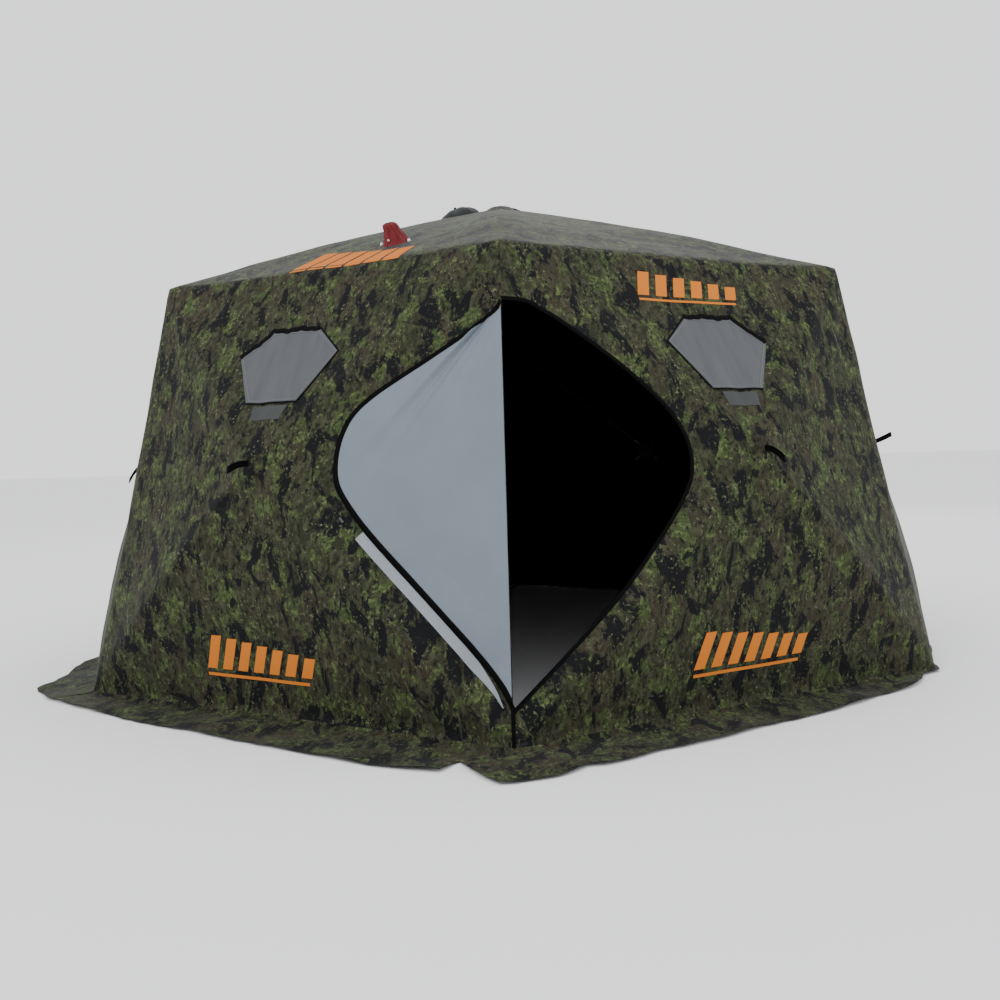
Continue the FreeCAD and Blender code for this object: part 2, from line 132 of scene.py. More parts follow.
def make_studio():
    world = bpy.data.worlds.new("studio")
    world.use_nodes = True
    background = world.node_tree.nodes["Background"]
    background.inputs["Color"].default_value = (0.97, 0.98, 1.0, 1)
    background.inputs["Strength"].default_value = 1.5
    bpy.context.scene.world = world
    area_light("key", (-3.5, -7.0, 6.5), (0, 0, 0.8), 5.0, 300)
    area_light("fill", (6.0, -5.0, 4.0), (0, 0, 0.8), 5.0, 120)
    area_light("back", (2.0, 8.0, 6.0), (0, 0, 1.0), 5.0, 180)
    mesh = bpy.data.meshes.new("floor")
    mesh.from_pydata([(-60, -60, 0), (60, -60, 0), (60, 60, 0), (-60, 60, 0)], [], [(0, 1, 2, 3)])
    mesh.materials.append(new_material("pale_floor", (0.86, 0.86, 0.86), 0.95)[0])
    add_object("floor", mesh)


# ---------------------------------------------------------------- materials

def new_material(name, color, roughness):
    material = bpy.data.materials.new(name)
    material.use_nodes = True
    tree = material.node_tree
    shader = tree.nodes["Principled BSDF"]
    shader.inputs["Base Color"].default_value = (*color, 1)
    shader.inputs["Roughness"].default_value = roughness
    return material, shader, tree


def feed(tree, value, socket):
    """Links another socket to this one, or sets it to a number or a colour."""
    if hasattr(value, "is_linked"):
        tree.links.new(value, socket)
    elif isinstance(value, tuple):
        socket.default_value = (*value, 1)
    else:
        socket.default_value = value


def calculate(tree, operation, first, second=0.0):
    made = tree.nodes.new("ShaderNodeMath")
    made.operation = operation
    for socket, value in zip(made.inputs, (first, second)):
        feed(tree, value, socket)
    return made.outputs[0]


def times(tree, first, second):
    return calculate(tree, "MULTIPLY", first, second)


def coordinates(tree, stretch=(1, 1, 1), shift=(0, 0, 0)):
    """Cloth coordinates in metres, stretched and shifted."""
    cloth = tree.nodes.new("ShaderNodeUVMap")
    cloth.uv_map = "cloth"
    mapping = tree.nodes.new("ShaderNodeMapping")
    mapping.inputs["Scale"].default_value = stretch
    mapping.inputs["Location"].default_value = shift
    feed(tree, cloth.outputs["UV"], mapping.inputs["Vector"])
    return mapping.outputs["Vector"]


def clouds(tree, where, scale, detail=2.0, rough=0.5, distortion=0.0):
    """Fractal noise: scale in features per metre."""
    made = tree.nodes.new("ShaderNodeTexNoise")
    settings = {"Vector": where, "Scale": scale, "Detail": detail, "Roughness": rough,
                "Distortion": distortion}
    for name, value in settings.items():
        feed(tree, value, made.inputs[name])
    return made.outputs["Fac"]


def step(tree, value, low, high):
    """0 below low, 1 above high, and a ramp between."""
    made = tree.nodes.new("ShaderNodeMapRange")
    made.clamp = True
    for name, setting in (("Value", value), ("From Min", low), ("From Max", high)):
        feed(tree, setting, made.inputs[name])
    return made.outputs["Result"]


def find(made, name, kind):
    return [s for s in made if s.name == name and s.type == kind][0]


def mix_colors(tree, factor, first, second):
    made = tree.nodes.new("ShaderNodeMix")
    made.data_type = "RGBA"
    feed(tree, factor, find(made.inputs, "Factor", "VALUE"))
    feed(tree, first, find(made.inputs, "A", "RGBA"))
    feed(tree, second, find(made.inputs, "B", "RGBA"))
    return find(made.outputs, "Result", "RGBA")


def bump(tree, shader, height, strength, distance):
    made = tree.nodes.new("ShaderNodeBump")
    for name, value in (("Strength", strength), ("Distance", distance), ("Height", height)):
        feed(tree, value, made.inputs[name])
    feed(tree, made.outputs["Normal"], shader.inputs["Normal"])


def weave_height(tree, thread=0.0016):
    """Crossed threads."""
    split = tree.nodes.new("ShaderNodeSeparateXYZ")
    feed(tree, coordinates(tree), split.inputs[0])
    waves = [calculate(tree, "SINE", times(tree, split.outputs[axis], math.tau / thread))
             for axis in ("X", "Y")]
    return times(tree, *waves)


def camouflage(name):
    """Dark woodland print: olive and brown areas, ragged dark blotches, leaf clumps and bright specks."""
    material, shader, tree = new_material(name, (0.02, 0.022, 0.014), 0.85)
    even = coordinates(tree)
    tall = coordinates(tree, (1, 0.6, 1), (3.1, 7.7, 0))
    other = coordinates(tree, (1, 0.8, 1), (9.3, 1.9, 0))
    earth = step(tree, clouds(tree, tall, 5.0, 4.0, 0.6), 0.42, 0.60)
    twigs = step(tree, clouds(tree, tall, 42.0, 5.0, 0.65, 0.4), 0.47, 0.60)
    leaves = step(tree, clouds(tree, other, 14.0, 7.0, 0.66, 0.6), 0.530, 0.560)
    leaf_light = step(tree, clouds(tree, even, 48.0, 5.0, 0.65, 0.5), 0.50, 0.60)
    dark = step(tree, clouds(tree, tall, 13.0, 6.0, 0.66, 0.5), 0.525, 0.560)
    speck = step(tree, clouds(tree, other, 75.0, 4.0, 0.7, 0.2), 0.580, 0.630)
    clump = step(tree, clouds(tree, even, 10.0, 3.0, 0.5), 0.44, 0.55)
    hole = step(tree, clouds(tree, tall, 62.0, 5.0, 0.7, 0.3), 0.540, 0.600)
    layers = (
        (earth, (0.0310, 0.0265, 0.0175)),
        (times(tree, twigs, 0.8), (0.0480, 0.0500, 0.0300)),
        (leaves, (0.0360, 0.0500, 0.0190)),
        (times(tree, leaves, leaf_light), (0.0820, 0.1000, 0.0400)),
        (times(tree, dark, 0.94), (0.0048, 0.0050, 0.0072)),
        (times(tree, times(tree, speck, clump), 0.85), (0.1150, 0.1250, 0.0650)),
        (times(tree, hole, 0.8), (0.0060, 0.0065, 0.0065)),
    )
    tone = (0.0200, 0.0230, 0.0125)
    for cover, color in layers:
        tone = mix_colors(tree, cover, tone, color)
    feed(tree, tone, shader.inputs["Base Color"])
    shader.inputs["Specular IOR Level"].default_value = 0.08
    shader.inputs["Sheen Weight"].default_value = 0.12
    shader.inputs["Sheen Roughness"].default_value = 0.25
    rough = step(tree, clouds(tree, even, 18.0, 5.0, 0.6), 0.0, 1.4)
    feed(tree, calculate(tree, "ADD", times(tree, rough, 0.2), 0.74), shader.inputs["Roughness"])
    crumple = clouds(tree, even, 9.0, 4.0, 0.5, 0.3)
    bump(tree, shader, calculate(tree, "ADD", times(tree, weave_height(tree), 0.03), crumple), 0.25, 0.005)
    return material


def cloth_material(name, color, dark, roughness, crease_scale=7.0, sheen=0.2, strength=0.3):
    """Plain woven cloth with soft creases and slight soiling."""
    material, shader, tree = new_material(name, color, roughness)
    soil = step(tree, clouds(tree, coordinates(tree), 4.0, 5.0, 0.6), 0.35, 0.75)
    feed(tree, mix_colors(tree, soil, color, dark), shader.inputs["Base Color"])
    shader.inputs["Sheen Weight"].default_value = sheen
    shader.inputs["Specular IOR Level"].default_value = 0.25
    crease = clouds(tree, coordinates(tree, (1, 0.5, 1)), crease_scale, 4.0, 0.5, 0.6)
    bump(tree, shader, calculate(tree, "ADD", times(tree, weave_height(tree), 0.05), crease), strength, 0.004)
    return material


def film_material():
    """Cloudy grey window film: faint upright streaks and a soft gloss."""
    material, shader, tree = new_material("window_film", (0.09, 0.095, 0.1), 0.4)
    streaks = step(tree, clouds(tree, coordinates(tree, (1, 0.12, 1)), 26.0, 4.0, 0.6), 0.35, 0.7)
    haze = step(tree, clouds(tree, coordinates(tree), 6.0, 3.0, 0.5), 0.3, 0.7)
    tone = mix_colors(tree, streaks, (0.044, 0.047, 0.053), (0.070, 0.072, 0.078))
    tone = mix_colors(tree, times(tree, haze, 0.5), tone, (0.056, 0.059, 0.065))
    feed(tree, tone, shader.inputs["Base Color"])
    shader.inputs["Specular IOR Level"].default_value = 0.3
    feed(tree, calculate(tree, "ADD", times(tree, streaks, 0.2), 0.35), shader.inputs["Roughness"])
    bump(tree, shader, clouds(tree, coordinates(tree, (1, 0.3, 1)), 12.0, 3.0, 0.5), 0.35, 0.004)
    return material


def webbing_material(name, color):
    """Ribbed webbing or zip tape."""
    material, shader, tree = new_material(name, color, 0.75)
    shader.inputs["Specular IOR Level"].default_value = 0.05
    where = coordinates(tree)
    split = tree.nodes.new("ShaderNodeSeparateXYZ")
    feed(tree, where, split.inputs[0])
    ribs = calculate(tree, "SINE", times(tree, split.outputs["Y"], math.tau / 0.0025))
    fuzz = step(tree, clouds(tree, where, 300.0, 2.0, 0.5), 0.3, 0.8)
    worn = tuple(c * 1.8 + 0.0005 for c in color)
    feed(tree, mix_colors(tree, fuzz, color, worn), shader.inputs["Base Color"])
    bump(tree, shader, ribs, 0.4, 0.0006)
    return material


def moulded_material(name, color, roughness, metallic=0.0):
    """Moulded nylon, steel or pultruded rod: fine pebbled skin, scuffs that catch the light."""
    material, shader, tree = new_material(name, color, roughness)
    place = tree.nodes.new("ShaderNodeTexCoord").outputs["Object"]
    scuff = step(tree, clouds(tree, place, 40.0, 6.0, 0.7), 0.5, 0.75)
    tone = mix_colors(tree, times(tree, scuff, 0.5), color, tuple(c * 2.2 + 0.01 for c in color))
    feed(tree, tone, shader.inputs["Base Color"])
    feed(tree, calculate(tree, "ADD", times(tree, scuff, 0.2), roughness), shader.inputs["Roughness"])
    shader.inputs["Metallic"].default_value = metallic
    bump(tree, shader, clouds(tree, place, 900.0, 2.0, 0.5), 0.2, 0.0003)
    return material


def print_material():
    """Orange screen print with some worn specks and the weave under it."""
    material, shader, tree = new_material("orange_print", (0.50, 0.15, 0.02), 0.8)
    shader.inputs["Specular IOR Level"].default_value = 0.08
    worn = step(tree, clouds(tree, coordinates(tree), 90.0, 4.0, 0.7), 0.60, 0.72)
    tone = mix_colors(tree, times(tree, worn, 0.55), (0.50, 0.150, 0.020), (0.20, 0.065, 0.015))
    feed(tree, tone, shader.inputs["Base Color"])
    bump(tree, shader, weave_height(tree), 0.2, 0.0004)
    return material


# ---------------------------------------------------------------- the frame's points

def level(bearing):
    turn = math.radians(bearing)
    return np.array((math.sin(turn), -math.cos(turn), 0.0))


def sideways(bearing):
    turn = math.radians(bearing)
    return np.array((math.cos(turn), math.sin(turn), 0.0))


def unit(vector):
    return np.asarray(vector, float) / np.linalg.norm(vector)


JOINTS = {joint["name"]: joint for joint in frame["joints"]}


def hub_axis(hub):
    return unit(JOINTS[hub.replace("_hub", "_pop")]["axis"])


def node_points(name):
    return np.array([vertex.co for vertex in frame["nodes"][name].data.vertices])


def hub_peak(hub):
    """The middle of the hub's outer cap face."""
    points = node_points(hub)
    along = points @ hub_axis(hub)
    return points[along > along.max() - 1e-4].mean(0)


roof_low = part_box("roof_canopy")[0]
wall_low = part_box("front_left_wall")[0]
EAVES_RADIUS = -roof_low.y
EAVES_HEIGHT = roof_low.z
BASE_RADIUS = -wall_low.y
BASE_HEIGHT = wall_low.z + 0.012


def eaves_corner(bearing):
    return level(bearing) * EAVES_RADIUS + UP * EAVES_HEIGHT


def base_corner(bearing):
    return level(bearing) * BASE_RADIUS + UP * BASE_HEIGHT


# ---------------------------------------------------------------- the fabric's net

ROW_SHARES = [1 - (1 - i / ROWS) ** 0.9 for i in range(ROWS + 1)]


class Facet:
    """One fabric panel between an outer edge and a hub, as a grid of points."""

    def __init__(self, name, hub, start, end, bows, sag, edge_pull=None):
        self.name = name
        self.hub = hub
        self.peak = hub_peak(hub)
        self.out = hub_axis(hub)
        self.start = start
        self.end = end
        self.bows = bows
        self.sag = sag
        self.pull = np.zeros(3) if edge_pull is None else edge_pull
        self.columns = np.linspace(0, 1, COLUMNS + 1)
        middle = (start + end) * 0.5
        along = unit(end - start)
        toward = self.peak - start
        self.foot = start + along * (toward @ along)
        normal = unit(np.cross(end - start, self.peak - start))
        self.normal = normal if normal @ self.out > 0 else -normal
        self.middle = middle

    def ridge(self, corner, bow, t):
        straight = corner + (self.peak - corner) * t
        return straight + self.out * bow * math.sin(math.pi * t) ** 1.2

    def limit(self, corner):
        return 1 - HUB_RING / np.linalg.norm(self.peak - corner)

    def point(self, t, u):
        """t runs from the outer edge to the hub, u from the start corner to the end corner."""
        left = self.ridge(self.start, self.bows[0], t * self.limit(self.start))
        right = self.ridge(self.end, self.bows[1], t * self.limit(self.end))
        bulge = 4 * u * (1 - u)
        point = left * (1 - u) + right * u
        point = point + self.pull * bulge * (1 - t) ** 2
        return point - self.normal * self.sag * bulge * 4 * t * (1 - t)

    def blend_start(self):
        return self.foot + (self.peak - self.foot) * BLEND_FROM

    def blend_end(self):
        return self.foot + (self.peak - self.foot) * BLEND_TO

    def grid(self):
        return np.array([[self.point(t, u) for u in self.columns] for t in ROW_SHARES])


def eaves_pull(bearing):
    """How the middle of an eaves edge gives way, inward and down."""
    return -level(bearing) * EDGE_PULL * 0.6 - UP * EDGE_PULL * 0.8


def wall_facets(wall, bearing):
    left, right = bearing - HALF_WALL, bearing + HALF_WALL
    corners = (eaves_corner(left), eaves_corner(right), base_corner(right), base_corner(left))
    bows = (UPPER_BOW, UPPER_BOW, LOWER_BOW, LOWER_BOW)
    pulls = (eaves_pull(bearing), -level(right) * EDGE_PULL, None, -level(left) * EDGE_PULL)
    facets = {}
    for index, kind in enumerate(("top", "right", "bottom", "left")):
        after = (index + 1) % 4
        facets[kind] = Facet(f"{wall}_{kind}_panel", f"{wall}_hub", corners[index], corners[after],
                             (bows[index], bows[after]), WALL_SAG, pulls[index])
    return facets


def roof_facet(wall, bearing):
    left, right = eaves_corner(bearing - HALF_WALL), eaves_corner(bearing + HALF_WALL)
    return Facet(f"roof_{wall}_panel", "roof_hub", left, right,
                 (ROOF_BOW, ROOF_BOW), ROOF_SAG, eaves_pull(bearing))


FACETS = {}
for wall, bearing in WALLS:
    for kind, facet in wall_facets(wall, bearing).items():
        FACETS[wall, kind] = facet
    FACETS[wall, "roof"] = roof_facet(wall, bearing)

DOOR_FACET = FACETS["front_right", "left"]
FLAP_FACET = FACETS["front_left", "right"]

CORNER_LENGTH = np.linalg.norm(eaves_corner(0) - base_corner(0))
DOOR_TOP_SHARE = DOOR_TOP_DROP / CORNER_LENGTH
DOOR_BOTTOM_SHARE = 1 - DOOR_BOTTOM_RISE / CORNER_LENGTH
FLAP_FACET.columns = np.concatenate((
    np.linspace(0, DOOR_TOP_SHARE, DOOR_STEPS + 1),
    np.linspace(DOOR_TOP_SHARE, DOOR_BOTTOM_SHARE, 2 * DOOR_STEPS + 1)[1:],
    np.linspace(DOOR_BOTTOM_SHARE, 1, DOOR_STEPS + 1)[1:],
))


def corner_edge(drop):
    """A point on the front corner's seam, that far below the eaves."""
    return FLAP_FACET.point(0, drop / CORNER_LENGTH)


def door_outline(facet, count, grow=0.0):
    """The door's edge on one side of the front corner, from its top round to its bottom, grown outward."""
    table = np.array(DOOR_EDGE_RIGHT if facet is DOOR_FACET else DOOR_EDGE_LEFT)
    for _ in range(CORNER_ROUNDS):
        cut = [table[0]]
        for a, b in zip(table, table[1:]):
            cut += [a * 0.75 + b * 0.25, a * 0.25 + b * 0.75]
        table = np.array(cut + [table[-1]])
    along = np.concatenate(([0], np.cumsum(np.linalg.norm(np.diff(table, axis=0), axis=1))))
    spots = np.linspace(0, along[-1], count + 1)
    flat = np.stack([np.interp(spots, along, table[:, k]) for k in (0, 1)], axis=1)
    ahead = np.gradient(flat, axis=0)
    ahead /= np.linalg.norm(ahead, axis=1)[:, None]
    grown = flat + np.stack((-ahead[:, 1], ahead[:, 0]), axis=1) * grow
    grown[0] = (flat[0][0] - 1.3 * grow, 0)
    grown[-1] = (flat[-1][0] + 1.3 * grow, 0)
    edge = unit(base_corner(0) - eaves_corner(0))
    inward = facet.peak - eaves_corner(0)
    inward = unit(inward - edge * (inward @ edge))
    points = [eaves_corner(0) + edge * drop + inward * max(0.0, reach) for drop, reach in grown]
    points[0] = corner_edge(grown[0][0])
    points[-1] = corner_edge(grown[-1][0])
    return points


def doorway_grid():
    """The panel beside the front corner with the door's opening left out."""
    facet = DOOR_FACET
    count = 2 * ROWS
    lower = [facet.point(t, 0.0) for t in ROW_SHARES]
    upper = [facet.point(t, 1.0) for t in ROW_SHARES]
    opening = door_outline(facet, count)
    rows = []
    for k in range(DOOR_STEPS + 1):
        share = k / DOOR_STEPS
        row = []
        for index in range(count + 1):
            outer = upper[index] if index <= ROWS else lower[count - index]
            row.append(opening[index] * (1 - share) + outer * share)
        row[0] = FLAP_FACET.point(0, FLAP_FACET.columns[DOOR_STEPS - k])
        row[-1] = FLAP_FACET.point(0, FLAP_FACET.columns[3 * DOOR_STEPS + k])
        rows.append(row)
    return np.array(rows)


# ---------------------------------------------------------------- skirt

# The skirt's outer edge where the photo shows it: bearing in degrees, and distance from the centre.
SKIRT_EDGE = (
    (-84, 2.115), (-79.6, 2.160), (-73.2, 2.180), (-69.5, 2.225), (-67.7, 2.290), (-60.9, 2.250),
    (-57.4, 2.200), (-52.4, 2.150), (-48.3, 2.112), (-41.7, 2.084), (-34.9, 2.053), (-30.7, 2.065),
    (-23.7, 2.088), (-17.7, 2.138), (-12.6, 2.206), (-9.3, 2.234), (-6.0, 2.262), (-4.7, 2.150),
    (-3.5, 2.245), (-2.3, 2.325), (-1.1, 2.386), (-0.2, 2.386), (1.9, 2.353), (3.6, 2.330),
    (5.9, 2.246), (7.8, 2.240), (10.6, 2.194), (13.3, 2.140), (18.3, 2.103), (23.8, 2.048),
    (27.1, 2.030), (33.7, 2.024), (42.9, 2.025), (46.7, 2.040), (50.7, 2.075), (54.0, 2.066),
    (57.2, 2.050), (60.0, 2.098), (66.0, 2.035), (73.0, 2.045))
SKIRT_WIDTH = 0.215
SKIRT_THICKNESS = 0.0014


def skirt_radius(bearing, middle):
    """How far the skirt's outer edge is from the blind's centre."""
    turned = (bearing + 180) % 360 - 180
    around = BASE_RADIUS * math.cos(math.radians(HALF_WALL)) / math.cos(math.radians(bearing - middle))
    plain = around + SKIRT_WIDTH + 0.012 * math.sin(math.radians(bearing * 9))
    bearings = [entry[0] for entry in SKIRT_EDGE]
    seen = float(np.interp(turned, bearings, [entry[1] for entry in SKIRT_EDGE]))
    share = np.interp(turned, (-96, -84, 73, 84), (0, 1, 1, 0))
    return seen * share + plain * (1 - share)


def skirt_grid(wall, bearing):
    """A strip of skirt from a wall's hem out over the ground, with lifted waves."""
    facet = FACETS[wall, "bottom"]
    rows = []
    hem = [facet.point(0, u) for u in facet.columns]
    for k in range(SKIRT_ROWS + 1):
        share = k / SKIRT_ROWS
        row = []
        for point in hem:
            angle = math.degrees(math.atan2(point[0], -point[1]))
            turned = bearing + (angle - bearing + 180) % 360 - 180
            outer = level(turned) * skirt_radius(turned, bearing)
            outer = outer + level(turned) * noise.noise(Vector((turned * 0.9, 0.0, 5.5))) * 0.007
            place = point + (outer - point * (1, 1, 0)) * share
            wave = noise.noise(Vector((place[0] * 5, place[1] * 5, 3.7)))
            ripple = noise.noise(Vector((place[0] * 17, place[1] * 17, 9.1)))
            lift = 0.008 + (0.012 * wave + 0.006 * ripple) * share
            fall = (1 - share) ** 3
            place[2] = max(0.004, point[2] * fall + (lift + 0.004) * (1 - fall))
            row.append(place)
        rows.append(row)
    return np.array(rows)


# ---------------------------------------------------------------- one welded surface

SMOOTH_ROUNDS = 4
# How far the tension folds reach from a hub or a corner, and how high they stand.
HUB_FOLDS = (0.5, 0.007)
CORNER_FOLDS = (0.6, 0.006)
GROUND_CLEARANCE = 0.0035
SLIDER_CLEARANCE = 0.003
# Within the first distance of the slider's run the fabric is pressed flat, beyond the second not at all.
PRESSED_BAND = (0.04, 0.12)


class Surface:
    """All the fabric as one welded mesh, smoothed together, and then handed out piece by piece."""

    def __init__(self):
        self.points = []
        self.lookup = {}
        self.faces = []
        self.groups = {}
        self.hold = []

    def index(self, point, hold):
        key = tuple(np.round(point, 4))
        if key not in self.lookup:
            self.lookup[key] = len(self.points)
            self.points.append(np.array(point, float))
            self.hold.append(0.0)
        found = self.lookup[key]
        self.hold[found] = max(self.hold[found], hold)
        return found

    def add(self, name, grid, outward, holds=None):
        """A grid of points; holds says, row by row, how firmly smoothing leaves them in place."""
        holds = [0.0] * len(grid) if holds is None else holds
        ids = [[self.index(point, hold) for point in row] for row, hold in zip(grid, holds)]
        faces = []
        for i in range(len(ids) - 1):
            for j in range(len(ids[0]) - 1):
                corners = [ids[i][j], ids[i][j + 1], ids[i + 1][j + 1], ids[i + 1][j]]
                distinct = list(dict.fromkeys(corners))
                if len(distinct) > 2:
                    faces.append(distinct)
        corners = [[self.points[k] for k in face] for face in faces]
        if sum(np.cross(p[1] - p[0], p[-1] - p[0]) @ outward for p in corners) < 0:
            faces = [face[::-1] for face in faces]
        self.groups[name] = faces
        self.faces += faces

    def edges(self):
        pairs = set()
        for face in self.faces:
            for a, b in zip(face, face[1:] + face[:1]):
                pairs.add((min(a, b), max(a, b)))
        return np.array(sorted(pairs))

    def normals(self):
        total = np.zeros_like(self.places)
        for face in self.faces:
            p = self.places[face]
            total[face] += np.cross(p[2] - p[0], p[-1] - p[1])
        return total / np.maximum(np.linalg.norm(total, axis=1), 1e-9)[:, None]

    def smooth(self, rounds, keep):
        self.places = np.array(self.points)
        edges = self.edges()
        counts = np.zeros(len(self.places))
        np.add.at(counts, edges[:, 0], 1)
        np.add.at(counts, edges[:, 1], 1)
        free = (1 - keep)[:, None]
        for _ in range(rounds):
            total = np.zeros_like(self.places)
            np.add.at(total, edges[:, 0], self.places[edges[:, 1]])
            np.add.at(total, edges[:, 1], self.places[edges[:, 0]])
            average = total / counts[:, None]
            self.places += (average - self.places) * 0.5 * free


def near(points, place, inner, outer):
    """1 within inner of a place, falling to 0 at outer."""
    distance = np.linalg.norm(points - place, axis=1)
    return np.clip((outer - distance) / (outer - inner), 0, 1)


def wrinkle(place, normal, hubs, corners):
    """Small out-of-plane moves: slack between seams, and tension folds that fan out from hubs and corners."""
    p = Vector(place)
    slack = noise.noise(p * 2.6) * 0.0050 + noise.noise(p * 7.0 + Vector((4, 1, 2))) * 0.0022
    folds = 0.0
    for centre, reach, strength in hubs + corners:
        offset = place - centre
        distance = np.linalg.norm(offset)
        if distance > reach or distance < 0.03:
            continue
        across = unit(np.cross(normal, UP) + 1e-6)
        angle = math.atan2(offset @ UP, offset @ across)
        fade = math.sin(math.pi * distance / reach) ** 1.0
        seed = Vector((centre[0] * 3.1, centre[1] * 2.3, angle * 3.4))
        folds += strength * fade * noise.noise(seed)
    return slack + folds


def clear_slider(places):
    """Presses the fabric down along the zip slider's run, so that the slider travels on top of it."""
    joint = JOINTS["zip_slide"]
    normal = FLAP_FACET.normal
    run = unit(np.array(joint["axis"]))
    slider = node_points("zip_slider")
    start = slider.mean(0)
    along = np.clip((places - start) @ run, -0.02, joint["range_m"][1] + 0.02)
    away = np.linalg.norm(places - start - along[:, None] * run, axis=1)
    flat, free = PRESSED_BAND
    press = np.clip((free - away) / (free - flat), 0, 1)
    underside = ((slider - slider[0]) @ normal).min()
    over = np.maximum(0, (places - slider[0]) @ normal - underside + SLIDER_CLEARANCE)
    return places - normal * (over * press)[:, None]


def build_surface():
    surface = Surface()
    for facet in FACETS.values():
        surface.add(facet.name, doorway_grid() if facet is DOOR_FACET else facet.grid(), facet.normal)
    skirt_holds = [0.0, 0.1, 0.3, 0.55, 0.75] + [0.88] * (SKIRT_ROWS - 5) + [1.0]
    for wall, bearing in WALLS:
        surface.add(f"{wall}_skirt", skirt_grid(wall, bearing), UP, skirt_holds)
    points = np.array(surface.points)
    keep = np.array(surface.hold)
    keep = np.maximum(keep, near(points, hub_peak("roof_hub"), 0.075, 0.18))
    for wall, bearing in WALLS:
        keep = np.maximum(keep, near(points, hub_peak(f"{wall}_hub"), 0.075, 0.16))
        keep = np.maximum(keep, near(points, eaves_corner(bearing + HALF_WALL), 0.04, 0.20) * 0.85)
        keep = np.maximum(keep, near(points, base_corner(bearing + HALF_WALL), 0.04, 0.16) * 0.7)
    outline = door_outline(DOOR_FACET, 2 * ROWS)
    seam = [corner_edge(DOOR_TOP_DROP + (CORNER_LENGTH - DOOR_TOP_DROP - DOOR_BOTTOM_RISE) * k / 100)
            for k in range(101)]
    for place in outline + seam:
        keep = np.maximum(keep, near(points, place, 0.006, 0.022))
    surface.smooth(SMOOTH_ROUNDS, keep)
    normals = surface.normals()
    hubs = [(hub_peak(f"{wall}_hub"), *HUB_FOLDS) for wall, _ in WALLS]
    corners = [(eaves_corner(bearing + HALF_WALL), *CORNER_FOLDS) for _, bearing in WALLS]
    for index, place in enumerate(surface.places):
        if keep[index] < 0.999:
            move = wrinkle(place, normals[index], hubs, corners)
            surface.places[index] = place + normals[index] * move * (1 - keep[index])
    surface.places = clear_slider(surface.places)
    surface.places[:, 2] = np.maximum(surface.places[:, 2], GROUND_CLEARANCE)
    surface.point_normals = surface.normals()
    return surface


def cloth_axes(out):
    """Right and up directions for cloth coordinates on a surface that faces out."""
    if abs(out[2]) > 0.7:
        return np.array((1.0, 0, 0)), np.array((0, 1.0, 0))
    right = unit(np.cross(UP, out))
    return right, unit(np.cross(out, right))


def shell(name, places, normals, faces, thickness, axes, shift, materials):
    """A closed piece of cloth: outer faces, inner faces and a rim."""
    used = sorted({index for face in faces for index in face})
    local = {index: k for k, index in enumerate(used)}
    outer = places[used]
    inner = outer - normals[used] * thickness
    count = len(used)
    outer_faces = [[local[k] for k in face] for face in faces]
    inner_faces = [[local[k] + count for k in face][::-1] for face in faces]
    seen = {}
    for face in outer_faces:
        for a, b in zip(face, face[1:] + face[:1]):
            seen[a, b] = True
    rim = [[b, a, a + count, b + count] for a, b in seen if (b, a) not in seen]
    points = np.vstack((outer, inner))
    mesh = bpy.data.meshes.new(name)
    mesh.from_pydata([tuple(p) for p in points], [], outer_faces + inner_faces + rim)
    for material in materials:
        mesh.materials.append(material)
    marks = [0] * len(outer_faces) + [min(1, len(materials) - 1)] * (len(inner_faces) + len(rim))
    mesh.polygons.foreach_set("material_index", marks)
    mesh.polygons.foreach_set("use_smooth", [True] * len(mesh.polygons))
    right, up = axes
    cloth = mesh.uv_layers.new(name="cloth")
    corners = np.zeros(len(mesh.loops), int)
    mesh.loops.foreach_get("vertex_index", corners)
    flat = np.stack((points @ right + shift[0], points @ up + shift[1]), axis=1)
    cloth.data.foreach_set("uv", flat[corners].astype(np.float32).ravel())
    edge_normals = np.vstack((normals[used], -normals[used]))
    mesh.validate()
    mesh.normals_split_custom_set([tuple(edge_normals[k]) for k in corners])
    return add_object(name, mesh)


def settle(piece, holder, stands_for=None):
    """Hangs the piece on a body, or bakes it in place when the holder is a fabric panel, and hides the CAD node
    that it stands for.

    The holder is a body, or a fabric panel; a piece on a panel is left fixed in world space.
    """
    if isinstance(holder, Facet):
        holder.blend_start()
        holder.blend_end()
        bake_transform(piece)
    else:
        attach(piece, holder)
    if stands_for:
        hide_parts(stands_for)
    return piece


def declare_panel(facet):
    """Works out the door's outline for the doorway panel, but does nothing with it."""
    if facet is not DOOR_FACET:
        return
    outline = np.array(door_outline(facet, 60))


def print_shift(hub):
    """Where the camouflage starts on a hub's panels, so that no two walls look alike."""
    return (0.7, 0.4) if hub == "roof_hub" else (dict(WALLS)[hub.replace("_hub", "")] * 0.11, 0.0)


def build_fabric(surface, camo, lining):
    for (wall, kind), facet in FACETS.items():
        axes = cloth_axes(hub_axis(facet.hub))
        piece = shell(facet.name, surface.places, surface.point_normals, surface.groups[facet.name],
                      FABRIC_THICKNESS, axes, print_shift(facet.hub), (camo, lining))
        settle(piece, facet, "roof_canopy" if kind == "roof" else f"{wall}_wall")
        declare_panel(facet)


def build_skirt(surface, camo, lining):
    faces = [face for wall, _ in WALLS for face in surface.groups[f"{wall}_skirt"]]
    axes = (np.array((1.0, 0, 0)), np.array((0, 1.0, 0)))
    piece = shell("ground_skirt", surface.places, surface.point_normals, faces,
                  SKIRT_THICKNESS, axes, (2.3, 5.1), (camo, lining))
    settle(piece, TENT, "snow_skirt")


# ---------------------------------------------------------------- trim that lies on the fabric

